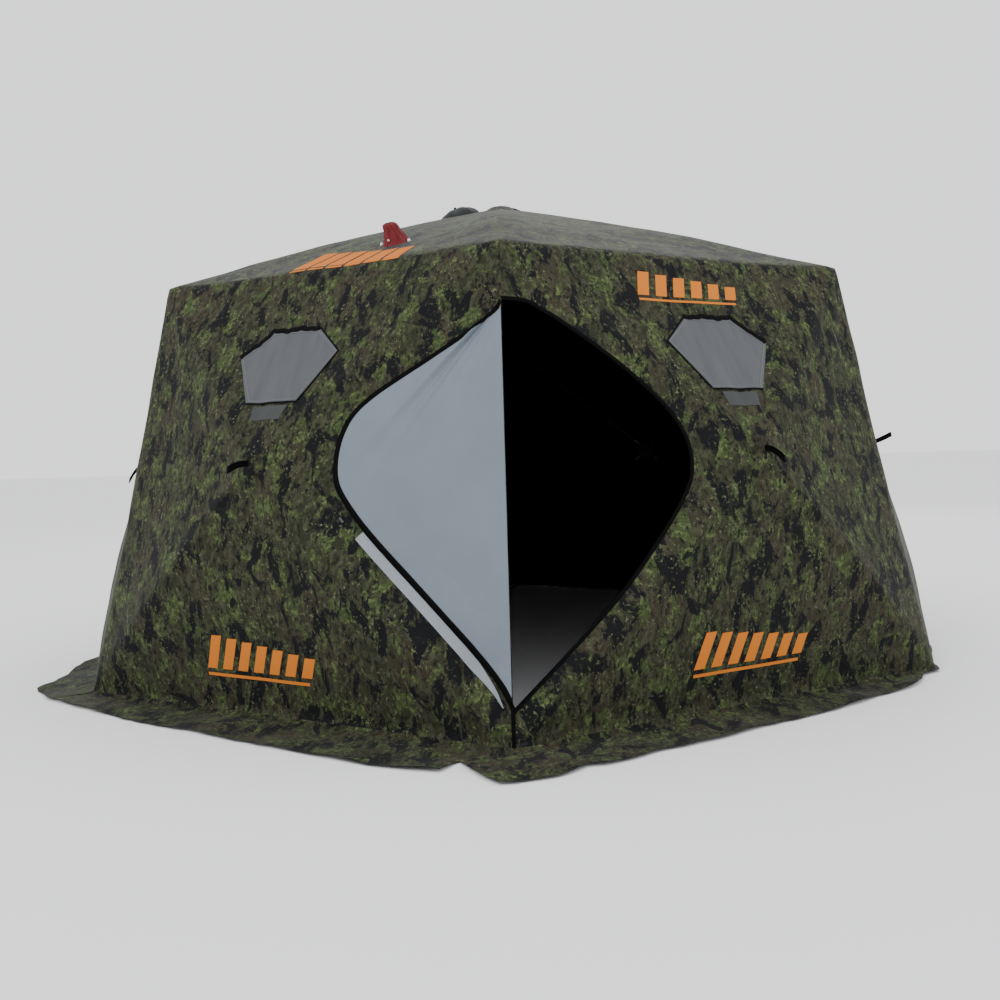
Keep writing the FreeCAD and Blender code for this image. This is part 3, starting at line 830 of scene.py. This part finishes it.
class Cloth:
    """Finds places on the finished fabric."""

    def __init__(self, surface):
        self.tree = BVHTree.FromPolygons([tuple(p) for p in surface.places], surface.faces)

    def on(self, place, normal, lift):
        """The point of the fabric behind or before a place, raised by lift, and the fabric's normal there."""
        start = Vector(place) + Vector(normal) * 0.25
        hit, hit_normal = self.tree.ray_cast(start, -Vector(normal), 0.6)[:2]
        if hit is None:
            hit, hit_normal = self.tree.find_nearest(Vector(place))[:2]
        if hit_normal.dot(Vector(normal)) < 0:
            hit_normal = -hit_normal
        return np.array(hit + hit_normal * lift), np.array(hit_normal)


def grid_piece(name, grid, normals, thickness, material, back=None, axes=None, shift=(0, 0)):
    """A closed thin piece from a grid of points; normals is a like grid, or one direction for all."""
    grid = np.asarray(grid, float)
    rows, columns = grid.shape[:2]
    places = grid.reshape(-1, 3)
    facing = np.broadcast_to(np.asarray(normals, float), grid.shape).reshape(-1, 3)
    corner = np.arange((rows - 1) * columns).reshape(rows - 1, columns)[:, :-1].ravel()
    faces = np.stack((corner, corner + 1, corner + columns + 1, corner + columns), axis=1)
    quads = places[faces]
    crossed = np.cross(quads[:, 2] - quads[:, 0], quads[:, 3] - quads[:, 1])
    if (crossed * facing[corner]).sum() < 0:
        faces = faces[:, ::-1]
    materials = (material,) if back is None else (material, back)
    axes = axes or cloth_axes(unit(facing.mean(0)))
    return shell(name, places, facing, faces.tolist(), thickness, axes, shift, materials)


def laid_piece(name, cloth, rows, normal, lifts, thickness, material):
    """A thin piece that lies on the fabric: rows of points, each point raised by its column's lift."""
    found = [[cloth.on(point, normal, lift) for point, lift in zip(row, lifts)] for row in rows]
    grid, normals = np.array(found).transpose(2, 0, 1, 3)
    return grid_piece(name, grid, normals, thickness, material)


def ribbon(name, cloth, route, normal, width, lift, thickness, material, crown=0.0, taper=0.0):
    """A strip that follows a route over the fabric; over its last share, taper, it narrows to a tenth."""
    route = np.asarray(route, float)
    last = len(route) - 1
    sides = np.array((-0.5, -0.25, 0.0, 0.25, 0.5))
    rows = []
    for index, point in enumerate(route):
        across = unit(np.cross(route[min(index + 1, last)] - route[max(index - 1, 0)], normal))
        wide = width * (0.1 + 0.9 * min(1.0, (last - index) / last / taper)) if taper else width
        rows.append(point + np.outer(sides * wide, across))
    return laid_piece(name, cloth, rows, normal, lift + crown * (1 - (2 * sides) ** 2), thickness, material)


def patch(name, cloth, outline, normal, lift, thickness, material, steps=10):
    """A flat print or patch inside four corners, laid on the fabric."""
    a, b, c, d = outline
    shares = np.linspace(0, 1, steps + 1)
    rows = [[(a * (1 - u) + b * u) * (1 - v) + (d * (1 - u) + c * u) * v for v in shares] for u in shares]
    return laid_piece(name, cloth, rows, normal, [lift] * (steps + 1), thickness, material)


def resample(points, spacing):
    """The same route with points at about an even spacing."""
    result = []
    for a, b in zip(points, points[1:]):
        count = max(1, int(round(np.linalg.norm(b - a) / spacing)))
        for index in range(count):
            result.append(a + (b - a) * index / count)
    result.append(points[-1])
    return result


# ---------------------------------------------------------------- windows

# Each pair of corners, from the top down: how far below the eaves seam, and the window's half width there.
WINDOW_ROWS = ((0.293, 0.117), (0.408, 0.245), (0.622, 0.124))
WINDOW_STEPS = 24


def window_corners(facet, grow=0.0):
    """The window's six corners, clockwise from its upper left."""
    across = unit(facet.end - facet.start)
    down = facet.peak - facet.middle
    down = unit(down - across * (down @ across))
    spread = (-grow, 0.0, grow)
    near_side = [facet.middle + down * (drop + extra) - across * (half + grow)
                 for (drop, half), extra in zip(WINDOW_ROWS, spread)]
    far_side = [facet.middle + down * (drop + extra) + across * (half + grow)
                for (drop, half), extra in zip(WINDOW_ROWS, spread)]
    return near_side + far_side[::-1]


def build_window(label, wall, cloth, film, tape, edge_film, patch_film):
    facet = FACETS[wall, "top"]
    corners = window_corners(facet)
    left, right = corners[:3], corners[3:][::-1]
    across_shares = np.linspace(0, 1, WINDOW_STEPS + 1)
    rows = []
    for share in np.linspace(0, 2, WINDOW_STEPS + 1):
        k = min(int(share), 1)
        start = left[k] + (left[k + 1] - left[k]) * (share - k)
        end = right[k] + (right[k + 1] - right[k]) * (share - k)
        rows.append([start + (end - start) * part for part in across_shares])
    lifts = [0.0022] * len(across_shares)
    pane = laid_piece(f"{label}_window_film", cloth, rows, facet.normal, lifts, 0.0008, film)
    settle(pane, facet, f"{label}_window")
    ring = corners if wall == "front_left" else corners[::-1]
    top_route = resample([ring[1], ring[0], ring[5]], 0.015)
    for index, point in enumerate(top_route):
        ripple = 0.004 * math.sin(index * 0.7) + 0.003 * math.sin(index * 1.9)
        top_route[index] = point + unit(corners[1] - corners[2]) * (ripple + 0.003)
    low_route = resample([ring[5], ring[4], ring[3], ring[2]], 0.02)
    inner = window_corners(facet, -0.011)
    inner_route = resample(inner + inner[:1], 0.02)
    trims = (("zip", top_route, 0.021, 0.0040, 0.0012, tape, 0.0020, "webbing"),
             ("hem", low_route, 0.0065, 0.0036, 0.0010, tape, 0.0, "webbing"),
             ("border", inner_route, 0.0065, 0.0030, 0.0006, edge_film, 0.0, "window_film"))
    for part, route, width, lift, thickness, material, crown, slot in trims:
        strip = ribbon(f"{label}_window_{part}", cloth, route, facet.normal,
                       width, lift, thickness, material, crown)
        settle(strip, facet)
    across = unit(facet.end - facet.start)
    down = unit(corners[2] - corners[1] - across * ((corners[2] - corners[1]) @ across))
    head = (corners[2] + corners[3]) * 0.5 + down * 0.012
    quad = (head - across * 0.085, head + across * 0.085,
            head + across * 0.070 + down * 0.062, head - across * 0.075 + down * 0.062)
    tab = patch(f"{label}_window_tab", cloth, quad, facet.normal, 0.0015, 0.0008, patch_film)
    settle(tab, facet)


# ---------------------------------------------------------------- door

# Creases that fan out from the door's top: angle from the fold line and width in radians, and height.
FLAP_FOLDS = ((0.815, 0.042, 0.026), (0.69, 0.030, 0.014), (0.60, 0.05, 0.006), (0.42, 0.06, 0.004))
# Rows of the flap's zip tape and of the right zip tape: how far out from the cloth's edge, and how high.
FLAP_TAPE = ((-0.004, 0.0012), (0.004, 0.0022), (0.012, 0.0008))
DOORWAY_TAPE = ((-0.008, 0.0), (-0.003, 0.0030), (0.002, 0.0030), (0.006, 0.0012))
STORM_STRIP_DROP = 1.06


def flap_point(outline, share_along, share_in):
    """A point of the folded flap: along its curved edge, and in towards the fold line."""
    place = share_along * (len(outline) - 1)
    index = min(int(place), len(outline) - 2)
    edge = outline[index] + (outline[index + 1] - outline[index]) * (place - index)
    down = unit(outline[-1] - outline[0])
    fold = outline[0] + down * ((edge - outline[0]) @ down)
    return edge + (fold - edge) * share_in


def flap_rise(outline, point, share_along, share_in):
    """How far the flap stands off the wall: its creases, soft waves, and a billow that ends at the fold."""
    from_top = point - outline[0]
    distance = np.linalg.norm(from_top)
    down = unit(outline[-1] - outline[0])
    angle = math.acos(np.clip(from_top @ down / max(distance, 1e-6), -1, 1))
    crease = sum(height * math.exp(-((angle - centre) / width) ** 2) for centre, width, height in FLAP_FOLDS)
    fade = min(1, distance / 0.15) * max(0, 1 - distance / 0.8) ** 0.7
    soft = noise.noise(Vector(point) * 4.0) * 0.006 + noise.noise(Vector(point) * 11.0) * 0.0015
    billow = 0.016 * math.sin(math.pi * share_in) * math.sin(math.pi * share_along)
    return (crease * fade + abs(soft) + billow) * min(1.0, 6 * (1 - share_in))


def build_flap(lining, camo, tape):
    """The door's free half, folded back over the fixed half with its lining outward."""
    normal = FLAP_FACET.normal
    outline = door_outline(FLAP_FACET, 120, -0.020)
    hinge = np.array(JOINTS["door_fold"]["pos_m"])
    lift = abs((hinge - eaves_corner(0)) @ normal) + 0.005
    places = []
    for share_in in np.linspace(0, 1, 85):
        row = []
        for share_along in np.linspace(0, 1, 121):
            point = flap_point(outline, 0.004 + 0.992 * share_along, share_in)
            row.append(point + normal * (lift + flap_rise(outline, point, share_along, share_in)))
        places.append(row)
    places = np.array(places)
    # The lining's grey-blue colour is painted sheen on the black inner coating.
    piece = grid_piece("door_flap_cloth", places, surface_normals(places, normal), 0.0016, lining, back=camo)
    settle(piece, "door", "door_flap")
    rows = [[base + unit(base - inner) * side + normal * rise for side, rise in FLAP_TAPE]
            for base, inner in zip(places[0], places[3])]
    settle(grid_piece("door_flap_zip_tape", rows, normal, 0.0022, tape), "door")


def build_door_trim(cloth, tape, storm):
    """Zip tapes round both halves of the door, the storm strip and the zip below the door."""
    facet = FLAP_FACET
    tape_left = ribbon("door_zip_left", cloth, door_outline(facet, 130, -0.008), facet.normal,
                       0.018, 0.0030, 0.0012, tape, 0.0030)
    settle(tape_left, facet)
    strip_top = corner_edge(STORM_STRIP_DROP)[2]
    strip_route = [point for point in door_outline(facet, 130, 0.021)[:-2] if point[2] < strip_top]
    strip = ribbon("door_storm_strip", cloth, strip_route, facet.normal,
                   0.038, 0.0045, 0.0012, storm, 0.0030, 0.22)
    settle(strip, facet)
    normal = DOOR_FACET.normal
    right = door_outline(DOOR_FACET, 130)
    centre = np.mean(right, axis=0)
    rows = []
    for index, point in enumerate(right):
        across = unit(np.cross(right[min(index + 1, len(right) - 1)] - right[max(index - 1, 0)], normal))
        if across @ (point - centre) < 0:
            across = -across
        rows.append([cloth.on(point + across * side, normal, rise)[0] if side > 0
                     else point + across * side + normal * rise for side, rise in DOORWAY_TAPE])
    settle(grid_piece("door_zip_right", rows, normal, 0.0022, tape), DOOR_FACET)
    seam = [corner_edge(CORNER_LENGTH - DOOR_BOTTOM_RISE * (1.05 - k / 10)) for k in range(11)]
    slit = ribbon("door_bottom_seam", cloth, seam, level(0), 0.012, 0.003, 0.0015, tape, 0.003)
    settle(slit, TENT)


# ---------------------------------------------------------------- prints

# Name, panel, place of the first bar's foot sideways and upward from the panel's middle, width and height,
# bars, slant, the share of the pitch that a bar fills, and whether a thin line runs below.
PRINTS = (
    ("front_left_print", ("front_left", "bottom"), -0.32, 0.17, 0.56, 0.135, 7, 0.35, 0.62, True),
    ("front_right_print", ("front_right", "bottom"), -0.30, 0.17, 0.56, 0.135, 7, 0.35, 0.62, True),
    ("front_right_upper_print", ("front_right", "top"), -0.30, -0.20, 0.52, 0.11, 6, 0.35, 0.62, True),
    ("roof_print", ("front_left", "roof"), -0.16, 0.01, 0.56, 0.36, 6, -0.25, 0.84, False),
)


def build_print(cloth, material, label, panel, offset, rise, width, height, count, slant, fill, ruled):
    """A band of slanted bars that shorten towards one end, over a thin line: a plain stripe device."""
    facet = FACETS[panel]
    across = unit(facet.end - facet.start)
    if across @ sideways(dict(WALLS)[panel[0]]) < 0:
        across = -across
    upward = facet.peak - facet.middle
    upward = unit(upward - across * (upward @ across))
    if upward[2] < 0:
        upward = -upward
    corner = facet.middle + across * offset + upward * rise
    pitch = width / count
    shapes = []
    for index in range(count):
        share = 1 - 0.5 * index / count
        base = corner + across * pitch * index
        foot = base + across * pitch * fill
        lean = (across * slant + upward) * height * share
        shapes.append((f"{label}_bar_{index + 1}", (base, foot, foot + lean, base + lean), 6))
    if ruled:
        low = corner - upward * height * 0.22
        end, thick = across * width * 0.92, upward * height * 0.09
        shapes.append((f"{label}_rule", (low, low + end, low + end + thick, low + thick), 12))
    for name, outline, steps in shapes:
        piece = patch(name, cloth, outline, facet.normal, 0.0012, 0.0005, material, steps)
        settle(piece, facet)


# ---------------------------------------------------------------- pull straps and hub patches

STRAP_DROOP = {"front_left_hub": 0.36, "front_right_hub": 0.55, "right_hub": -0.20,
               "left_hub": 0.95, "roof_hub": 0.28}
STRAP_HALF_WIDTH = 0.0115
STRAP_EYE = 0.0045
CAP_RADIUS = 0.040


def build_strap(hub, webbing):
    """A loop of webbing sewn at the hub's cap: two layers that part into an eye at the end, and droop."""
    name = hub.replace("_hub", "_pull_strap")
    peak, out = hub_peak(hub), hub_axis(hub)
    low, high = (np.array(corner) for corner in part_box(name))
    if hub == "roof_hub":
        along, side = np.array((1.0, 0, 0)), np.array((0, 1.0, 0))
        lift = UP
        start = np.array((low[0] + 0.003, 0, (low[2] + high[2]) / 2))
        length = high[0] - low[0] - 0.006
    else:
        right, up = cloth_axes(out)
        along, side, lift = out, up, right
        start = peak - out * 0.002
        length = np.linalg.norm((high - low)[:2]) * 0.9
    droop = STRAP_DROOP.get(hub, 0.25)
    steps = 16
    profile = [(length * k / steps, 0.0012 + STRAP_EYE * math.sin(math.pi * 0.5 * k / steps) ** 2)
               for k in range(steps + 1)]
    turn = [(length + STRAP_EYE * math.sin(angle), STRAP_EYE * math.cos(angle))
            for angle in np.linspace(0.2, math.pi - 0.2, 7)]
    centres = []
    for x, y in profile + turn + [(x, -y) for x, y in profile[::-1]]:
        share = x / length
        sunk = UP * droop * length * share ** 1.6
        centres.append(start + along * x * (1 - 0.12 * droop * share) + lift * y - sunk)
    grid, normals = [], []
    for index, centre in enumerate(centres):
        way = unit(centres[min(index + 1, len(centres) - 1)] - centres[max(index - 1, 0)])
        grid.append([centre + side * STRAP_HALF_WIDTH * share for share in (-1, -0.92, 0, 0.92, 1)])
        normals.append([unit(np.cross(way, side))] * 5)
    piece = grid_piece(name + "_loop", grid, normals, 0.0012, webbing, axes=(side, along))
    settle(piece, hub, name)


PATCH_RADIUS = {"roof_hub": 0.100}


def build_hub_patch(hub, cloth, camo):
    """The doubled fabric patch over a hub's cap: it dips from the cap's rim to the panels round it."""
    peak, out = hub_peak(hub), hub_axis(hub)
    right, up = cloth_axes(out)
    edge = PATCH_RADIUS.get(hub, 0.062)
    ways = [right * math.cos(turn) + up * math.sin(turn) for turn in np.linspace(0, math.tau, 57)]
    rims = [(cloth.on(peak + way * edge, out, 0.0012)[0] - peak) @ out for way in ways]
    grid, normals = [], []
    for radius in (0.004, 0.012, 0.022, 0.032, *np.linspace(CAP_RADIUS, edge, 6)):
        share = max(0.0, (radius - CAP_RADIUS) / (edge - CAP_RADIUS))
        smooth = share * share * (3 - 2 * share)
        tilt = math.sin(math.pi * share) * 0.022 / (edge - CAP_RADIUS)
        grid.append([peak + way * radius + out * (0.0016 * (1 - smooth) + rim * smooth)
                     for way, rim in zip(ways, rims)])
        normals.append([unit(out + way * tilt) for way in ways])
    piece = grid_piece(hub.replace("_hub", "_hub_patch"), grid, normals, 0.0012, camo,
                       axes=(right, up), shift=print_shift(hub))
    settle(piece, hub)


# ---------------------------------------------------------------- poles

POLES = (("upper_left", "top", "start", UPPER_BOW), ("upper_right", "top", "end", UPPER_BOW),
         ("lower_left", "bottom", "end", LOWER_BOW), ("lower_right", "bottom", "start", LOWER_BOW))
ROD_RADIUS = 0.00475
FERRULE_RADIUS = 0.0070
FERRULE_LENGTH = 0.066
TIP_RADIUS = 0.0060
TIP_LENGTH = 0.030


def node_ends(name, toward):
    """The middles of a long node's two ends; the first is the one nearer to toward."""
    points = node_points(name)
    centre = points.mean(0)
    direction = np.linalg.svd(points - centre, full_matrices=False)[2][0]
    along = (points - centre) @ direction
    ends = [points[along < along.min() + 0.004].mean(0), points[along > along.max() - 0.004].mean(0)]
    return sorted(ends, key=lambda end: np.linalg.norm(end - toward))


def tube(name, rings, materials, marks=None):
    """A closed smooth mesh through rings of points, with a cap at each end."""
    around = len(rings[0])
    faces = []
    for i in range(len(rings) - 1):
        for k in range(around):
            after = (k + 1) % around
            faces.append((i * around + k, i * around + after, (i + 1) * around + after, (i + 1) * around + k))
    faces += [tuple(range(around))[::-1], tuple((len(rings) - 1) * around + k for k in range(around))]
    mesh = bpy.data.meshes.new(name)
    mesh.from_pydata([tuple(point) for ring in rings for point in ring], [], faces)
    for material in materials:
        mesh.materials.append(material)
    mesh.polygons.foreach_set("material_index", marks or [0] * len(faces))
    mesh.polygons.foreach_set("use_smooth", [True] * len(faces))
    return add_object(name, mesh)


def build_pole(name, facet, corner, bow, rod, metal, tip):
    """A glass-fibre rod with its steel ferrule and moulded tip, bowed by the cloth it stretches."""
    near_end, far_end = node_ends(name, facet.peak)
    length = np.linalg.norm(far_end - near_end)
    way = (far_end - near_end) / length
    side = unit(np.cross(way, facet.out))
    rise = np.cross(side, way)
    if rise @ facet.out < 0:
        rise = -rise
    stations = [(0.0, FERRULE_RADIUS), (FERRULE_LENGTH, FERRULE_RADIUS), (FERRULE_LENGTH + 0.002, ROD_RADIUS)]
    count = 40
    start, stop = FERRULE_LENGTH + 0.004, length - TIP_LENGTH - 0.002
    stations += [(start + (stop - start) * k / count, ROD_RADIUS) for k in range(count + 1)]
    stations += [(length - TIP_LENGTH, TIP_RADIUS), (length - 0.003, TIP_RADIUS), (length, TIP_RADIUS * 0.5)]
    around = 14
    spokes = [side * math.cos(turn) + rise * math.sin(turn)
              for turn in np.linspace(0, math.tau, around, endpoint=False)]
    rings = []
    for distance, radius in stations:
        centre = near_end + way * distance + facet.out * bow * math.sin(math.pi * distance / length)
        rings.append([centre + spoke * radius for spoke in spokes])
    marks = []
    for low, high in zip(stations, stations[1:]):
        middle = (low[0] + high[0]) / 2
        kind = 1 if middle < FERRULE_LENGTH + 0.003 else 2 if middle > length - TIP_LENGTH - 0.003 else 0
        marks += [kind] * around
    piece = tube(name.replace("_pole", "_bowed_pole"), rings, (rod, metal, tip), marks + [1, 2])
    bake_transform(piece)
    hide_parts(name)


def build_poles(rod, metal, tip):
    for wall, _ in WALLS:
        for place, kind, end, bow in POLES:
            facet = FACETS[wall, kind]
            build_pole(f"{wall}_{place}_pole", facet, getattr(facet, end), bow, rod, metal, tip)
    for name in frame["nodes"]:
        if name.startswith("roof_") and name.endswith("_pole"):
            far = node_ends(name, hub_peak("roof_hub"))[1]
            facet = min((FACETS[wall, "roof"] for wall, _ in WALLS),
                        key=lambda found: np.linalg.norm(found.start - far))
            build_pole(name, facet, facet.start, ROOF_BOW, rod, metal, tip)


# ---------------------------------------------------------------- sleeve and vent

def seat_of(name, normal):
    """The middle of a node's foot, and its height above that, along the face that it stands on."""
    points = node_points(name)
    along = points @ normal
    foot = points[along < along.min() + 0.001]
    return foot.mean(0), along.max() - along.min()


# How far up the sleeve, as a share of its height, and its radius there.
SLEEVE_PROFILE = ((0.0, 0.063), (0.03, 0.060), (0.10, 0.056), (0.22, 0.050), (0.36, 0.045), (0.50, 0.041),
                  (0.64, 0.036), (0.78, 0.032), (0.90, 0.029), (0.97, 0.023), (0.99, 0.014), (0.965, 0.005))


def build_sleeve(red, glint_white, tan):
    """The gathered stove-pipe sleeve: folds that flare at the roof and close towards its top."""
    normal = FACETS["front_left", "roof"].normal
    base, height = seat_of("stove_sleeve", normal)
    right = unit(np.cross(UP, normal))
    fore = np.cross(normal, right)
    grid, normals = [], []
    for share, radius in SLEEVE_PROFILE:
        row, facings = [], []
        for turn in np.linspace(0, math.tau, 111):
            folds = math.sin(turn * 9 + 1.6 * math.sin(turn * 2 + share * 2.5))
            folds += 0.5 * math.sin(turn * 17 - share * 4)
            pleat = 1 + 0.085 * folds * min(1, 0.35 + share)
            squeeze = 1 - 0.10 * math.exp(-((share - 0.60) / 0.10) ** 2)
            facing = right * math.cos(turn) + fore * math.sin(turn)
            lean = right * -0.016 * share ** 2
            row.append(base + normal * height * share + facing * radius * pleat * squeeze + lean)
            facings.append(facing)
        grid.append(row)
        normals.append(facings)
    places = np.array(grid)
    piece = grid_piece("stove_sleeve_cloth", places, surface_normals(places, np.array(normals)), 0.0015, red)
    settle(piece, TENT, "stove_sleeve")
    # Both knobs at the sleeve's foot are white as a painted highlight: they stand in for the glints of metal
    # eyelets.
    for side, label in ((-1, "left"), (1, "right")):
        place = base + right * side * 0.071 + normal * 0.009 - fore * 0.008
        settle(knob(f"sleeve_toggle_{label}", place, 0.0075, 0.014, glint_white), TENT)
    place = base - fore * 0.052 + normal * 0.024
    settle(knob("sleeve_cord_lock", place, 0.0065, 0.011, tan), TENT)


def surface_normals(places, toward):
    """Normals of a grid of points, on the side of the given directions."""
    crossed = np.cross(np.gradient(places, axis=0), np.gradient(places, axis=1))
    crossed /= np.maximum(np.linalg.norm(crossed, axis=2), 1e-9)[:, :, None]
    crossed[(crossed * toward).sum(2) < 0] *= -1
    return crossed


def knob(name, centre, radius, length, material):
    """A small rounded toggle with a waist."""
    rings = []
    for t in np.linspace(0, 1, 9):
        waist = 1 - 0.18 * math.exp(-((t - 0.5) / 0.12) ** 2)
        swell = radius * math.sin(math.pi * (0.04 + 0.92 * t)) ** 0.5 * waist
        rings.append([centre + (swell * math.cos(turn), swell * math.sin(turn), (t - 0.5) * length)
                      for turn in np.linspace(0, math.tau, 16, endpoint=False)])
    return tube(name, rings, (material,))


VENT_RADIUS = 0.112


def build_vent(dark):
    """The hooded roof vent: cloth over a wire arch, with ribs, slack between them and a sewn nub on top."""
    facet = FACETS["left", "roof"]
    normal = facet.normal
    base, height = seat_of("roof_vent_hood", normal)
    down = unit(facet.middle - facet.peak)
    side = np.cross(normal, down)
    grid, normals = [], []
    for t in np.linspace(0, 1, 21):
        radius = VENT_RADIUS * max(0.0, math.cos(t * math.pi / 2)) ** 0.85 + 0.001
        rise = (height - 0.004) * math.sin(t * math.pi / 2) ** 0.95
        row, facings = [], []
        for turn in np.linspace(0, math.tau, 97):
            sag = 0.007 * (abs(math.cos(turn * 3)) - 1) * math.sin(math.pi * t)
            ruffle = 0.002 * math.sin(turn * 23) * (1 - t) ** 2
            facing = down * math.cos(turn) + side * math.sin(turn)
            row.append(base + facing * (radius + sag + ruffle) + normal * (rise + sag))
            facings.append(facing + normal * 0.3)
        grid.append(row)
        normals.append(facings)
    places = np.array(grid)
    facing = surface_normals(places, np.array(normals))
    piece = grid_piece("roof_vent_hood_cloth", places, facing, 0.0018, dark)
    settle(piece, facet, "roof_vent_hood")
    settle(knob("roof_vent_nub", base + normal * height, 0.008, 0.018, dark), facet)


# ---------------------------------------------------------------- CAD nodes that stay

def dress_cad(materials):
    for name, obj in frame["nodes"].items():
        for ending, material in materials.items():
            if name.endswith(ending):
                obj.data.materials.clear()
                obj.data.materials.append(material)


def main():
    make_camera()
    make_studio()
    camo = camouflage("woodland_print")
    # The door flap's grey-blue lining colour is painted sheen: the inner coating is black, and this colour
    # stands in for the light it catches at a grazing angle.
    lining = cloth_material("painted_sheen_lining", (0.138, 0.163, 0.192), (0.122, 0.146, 0.172), 0.6,
                            sheen=0.1, strength=0.15)
    inside = cloth_material("dark_inside", (0.012, 0.012, 0.013), (0.008, 0.008, 0.009), 0.9, sheen=0.0)
    storm = cloth_material("pale_strip", (0.22, 0.245, 0.27), (0.18, 0.20, 0.22), 0.7)
    red = cloth_material("red_sleeve", (0.150, 0.009, 0.012), (0.085, 0.005, 0.007), 0.8, 14.0, sheen=0.1)
    dark = cloth_material("vent_cloth", (0.014, 0.018, 0.017), (0.008, 0.010, 0.010), 0.8, 14.0, sheen=0.1)
    tape = webbing_material("black_tape", (0.0014, 0.0014, 0.0016))
    film = film_material()
    edge_film = cloth_material("window_edge", (0.085, 0.088, 0.095), (0.062, 0.065, 0.072), 0.5, 20.0,
                               sheen=0.0)
    tab_film = cloth_material("window_tab", (0.034, 0.037, 0.037), (0.022, 0.024, 0.023), 0.6, 20.0,
                              sheen=0.0)
    orange = print_material()
    # Its white is a painted highlight, for the glints of the stove sleeve's metal eyelets.
    glint_white = moulded_material("painted_glint_toggle", (0.75, 0.75, 0.72), 0.4)
    tan = moulded_material("tan_lock", (0.45, 0.33, 0.2), 0.5)
    dress_cad({
        "_hub": moulded_material("hub_nylon", (0.022, 0.022, 0.024), 0.45),
        "sockets": moulded_material("socket_nylon", (0.02, 0.02, 0.022), 0.5),
        "feet": moulded_material("foot_nylon", (0.02, 0.02, 0.022), 0.55),
        "slider": moulded_material("slider_paint", (0.02, 0.02, 0.02), 0.3),
    })
    rod = moulded_material("fibreglass_rod", (0.05, 0.05, 0.052), 0.35)
    metal = moulded_material("ferrule_steel", (0.42, 0.42, 0.43), 0.3, metallic=1.0)
    moulded = moulded_material("tip_nylon", (0.02, 0.02, 0.022), 0.5)
    surface = build_surface()
    cloth = Cloth(surface)
    build_fabric(surface, camo, inside)
    build_skirt(surface, camo, inside)
    build_window("left", "front_left", cloth, film, tape, edge_film, tab_film)
    build_window("right", "front_right", cloth, film, tape, edge_film, tab_film)
    build_flap(lining, camo, tape)
    build_door_trim(cloth, tape, storm)
    for details in PRINTS:
        build_print(cloth, orange, *details)
    for hub in [f"{wall}_hub" for wall, _ in WALLS] + ["roof_hub"]:
        build_strap(hub, tape)
        build_hub_patch(hub, cloth, camo)
    build_poles(rod, metal, moulded)
    build_sleeve(red, glint_white, tan)
    build_vent(dark)


main()
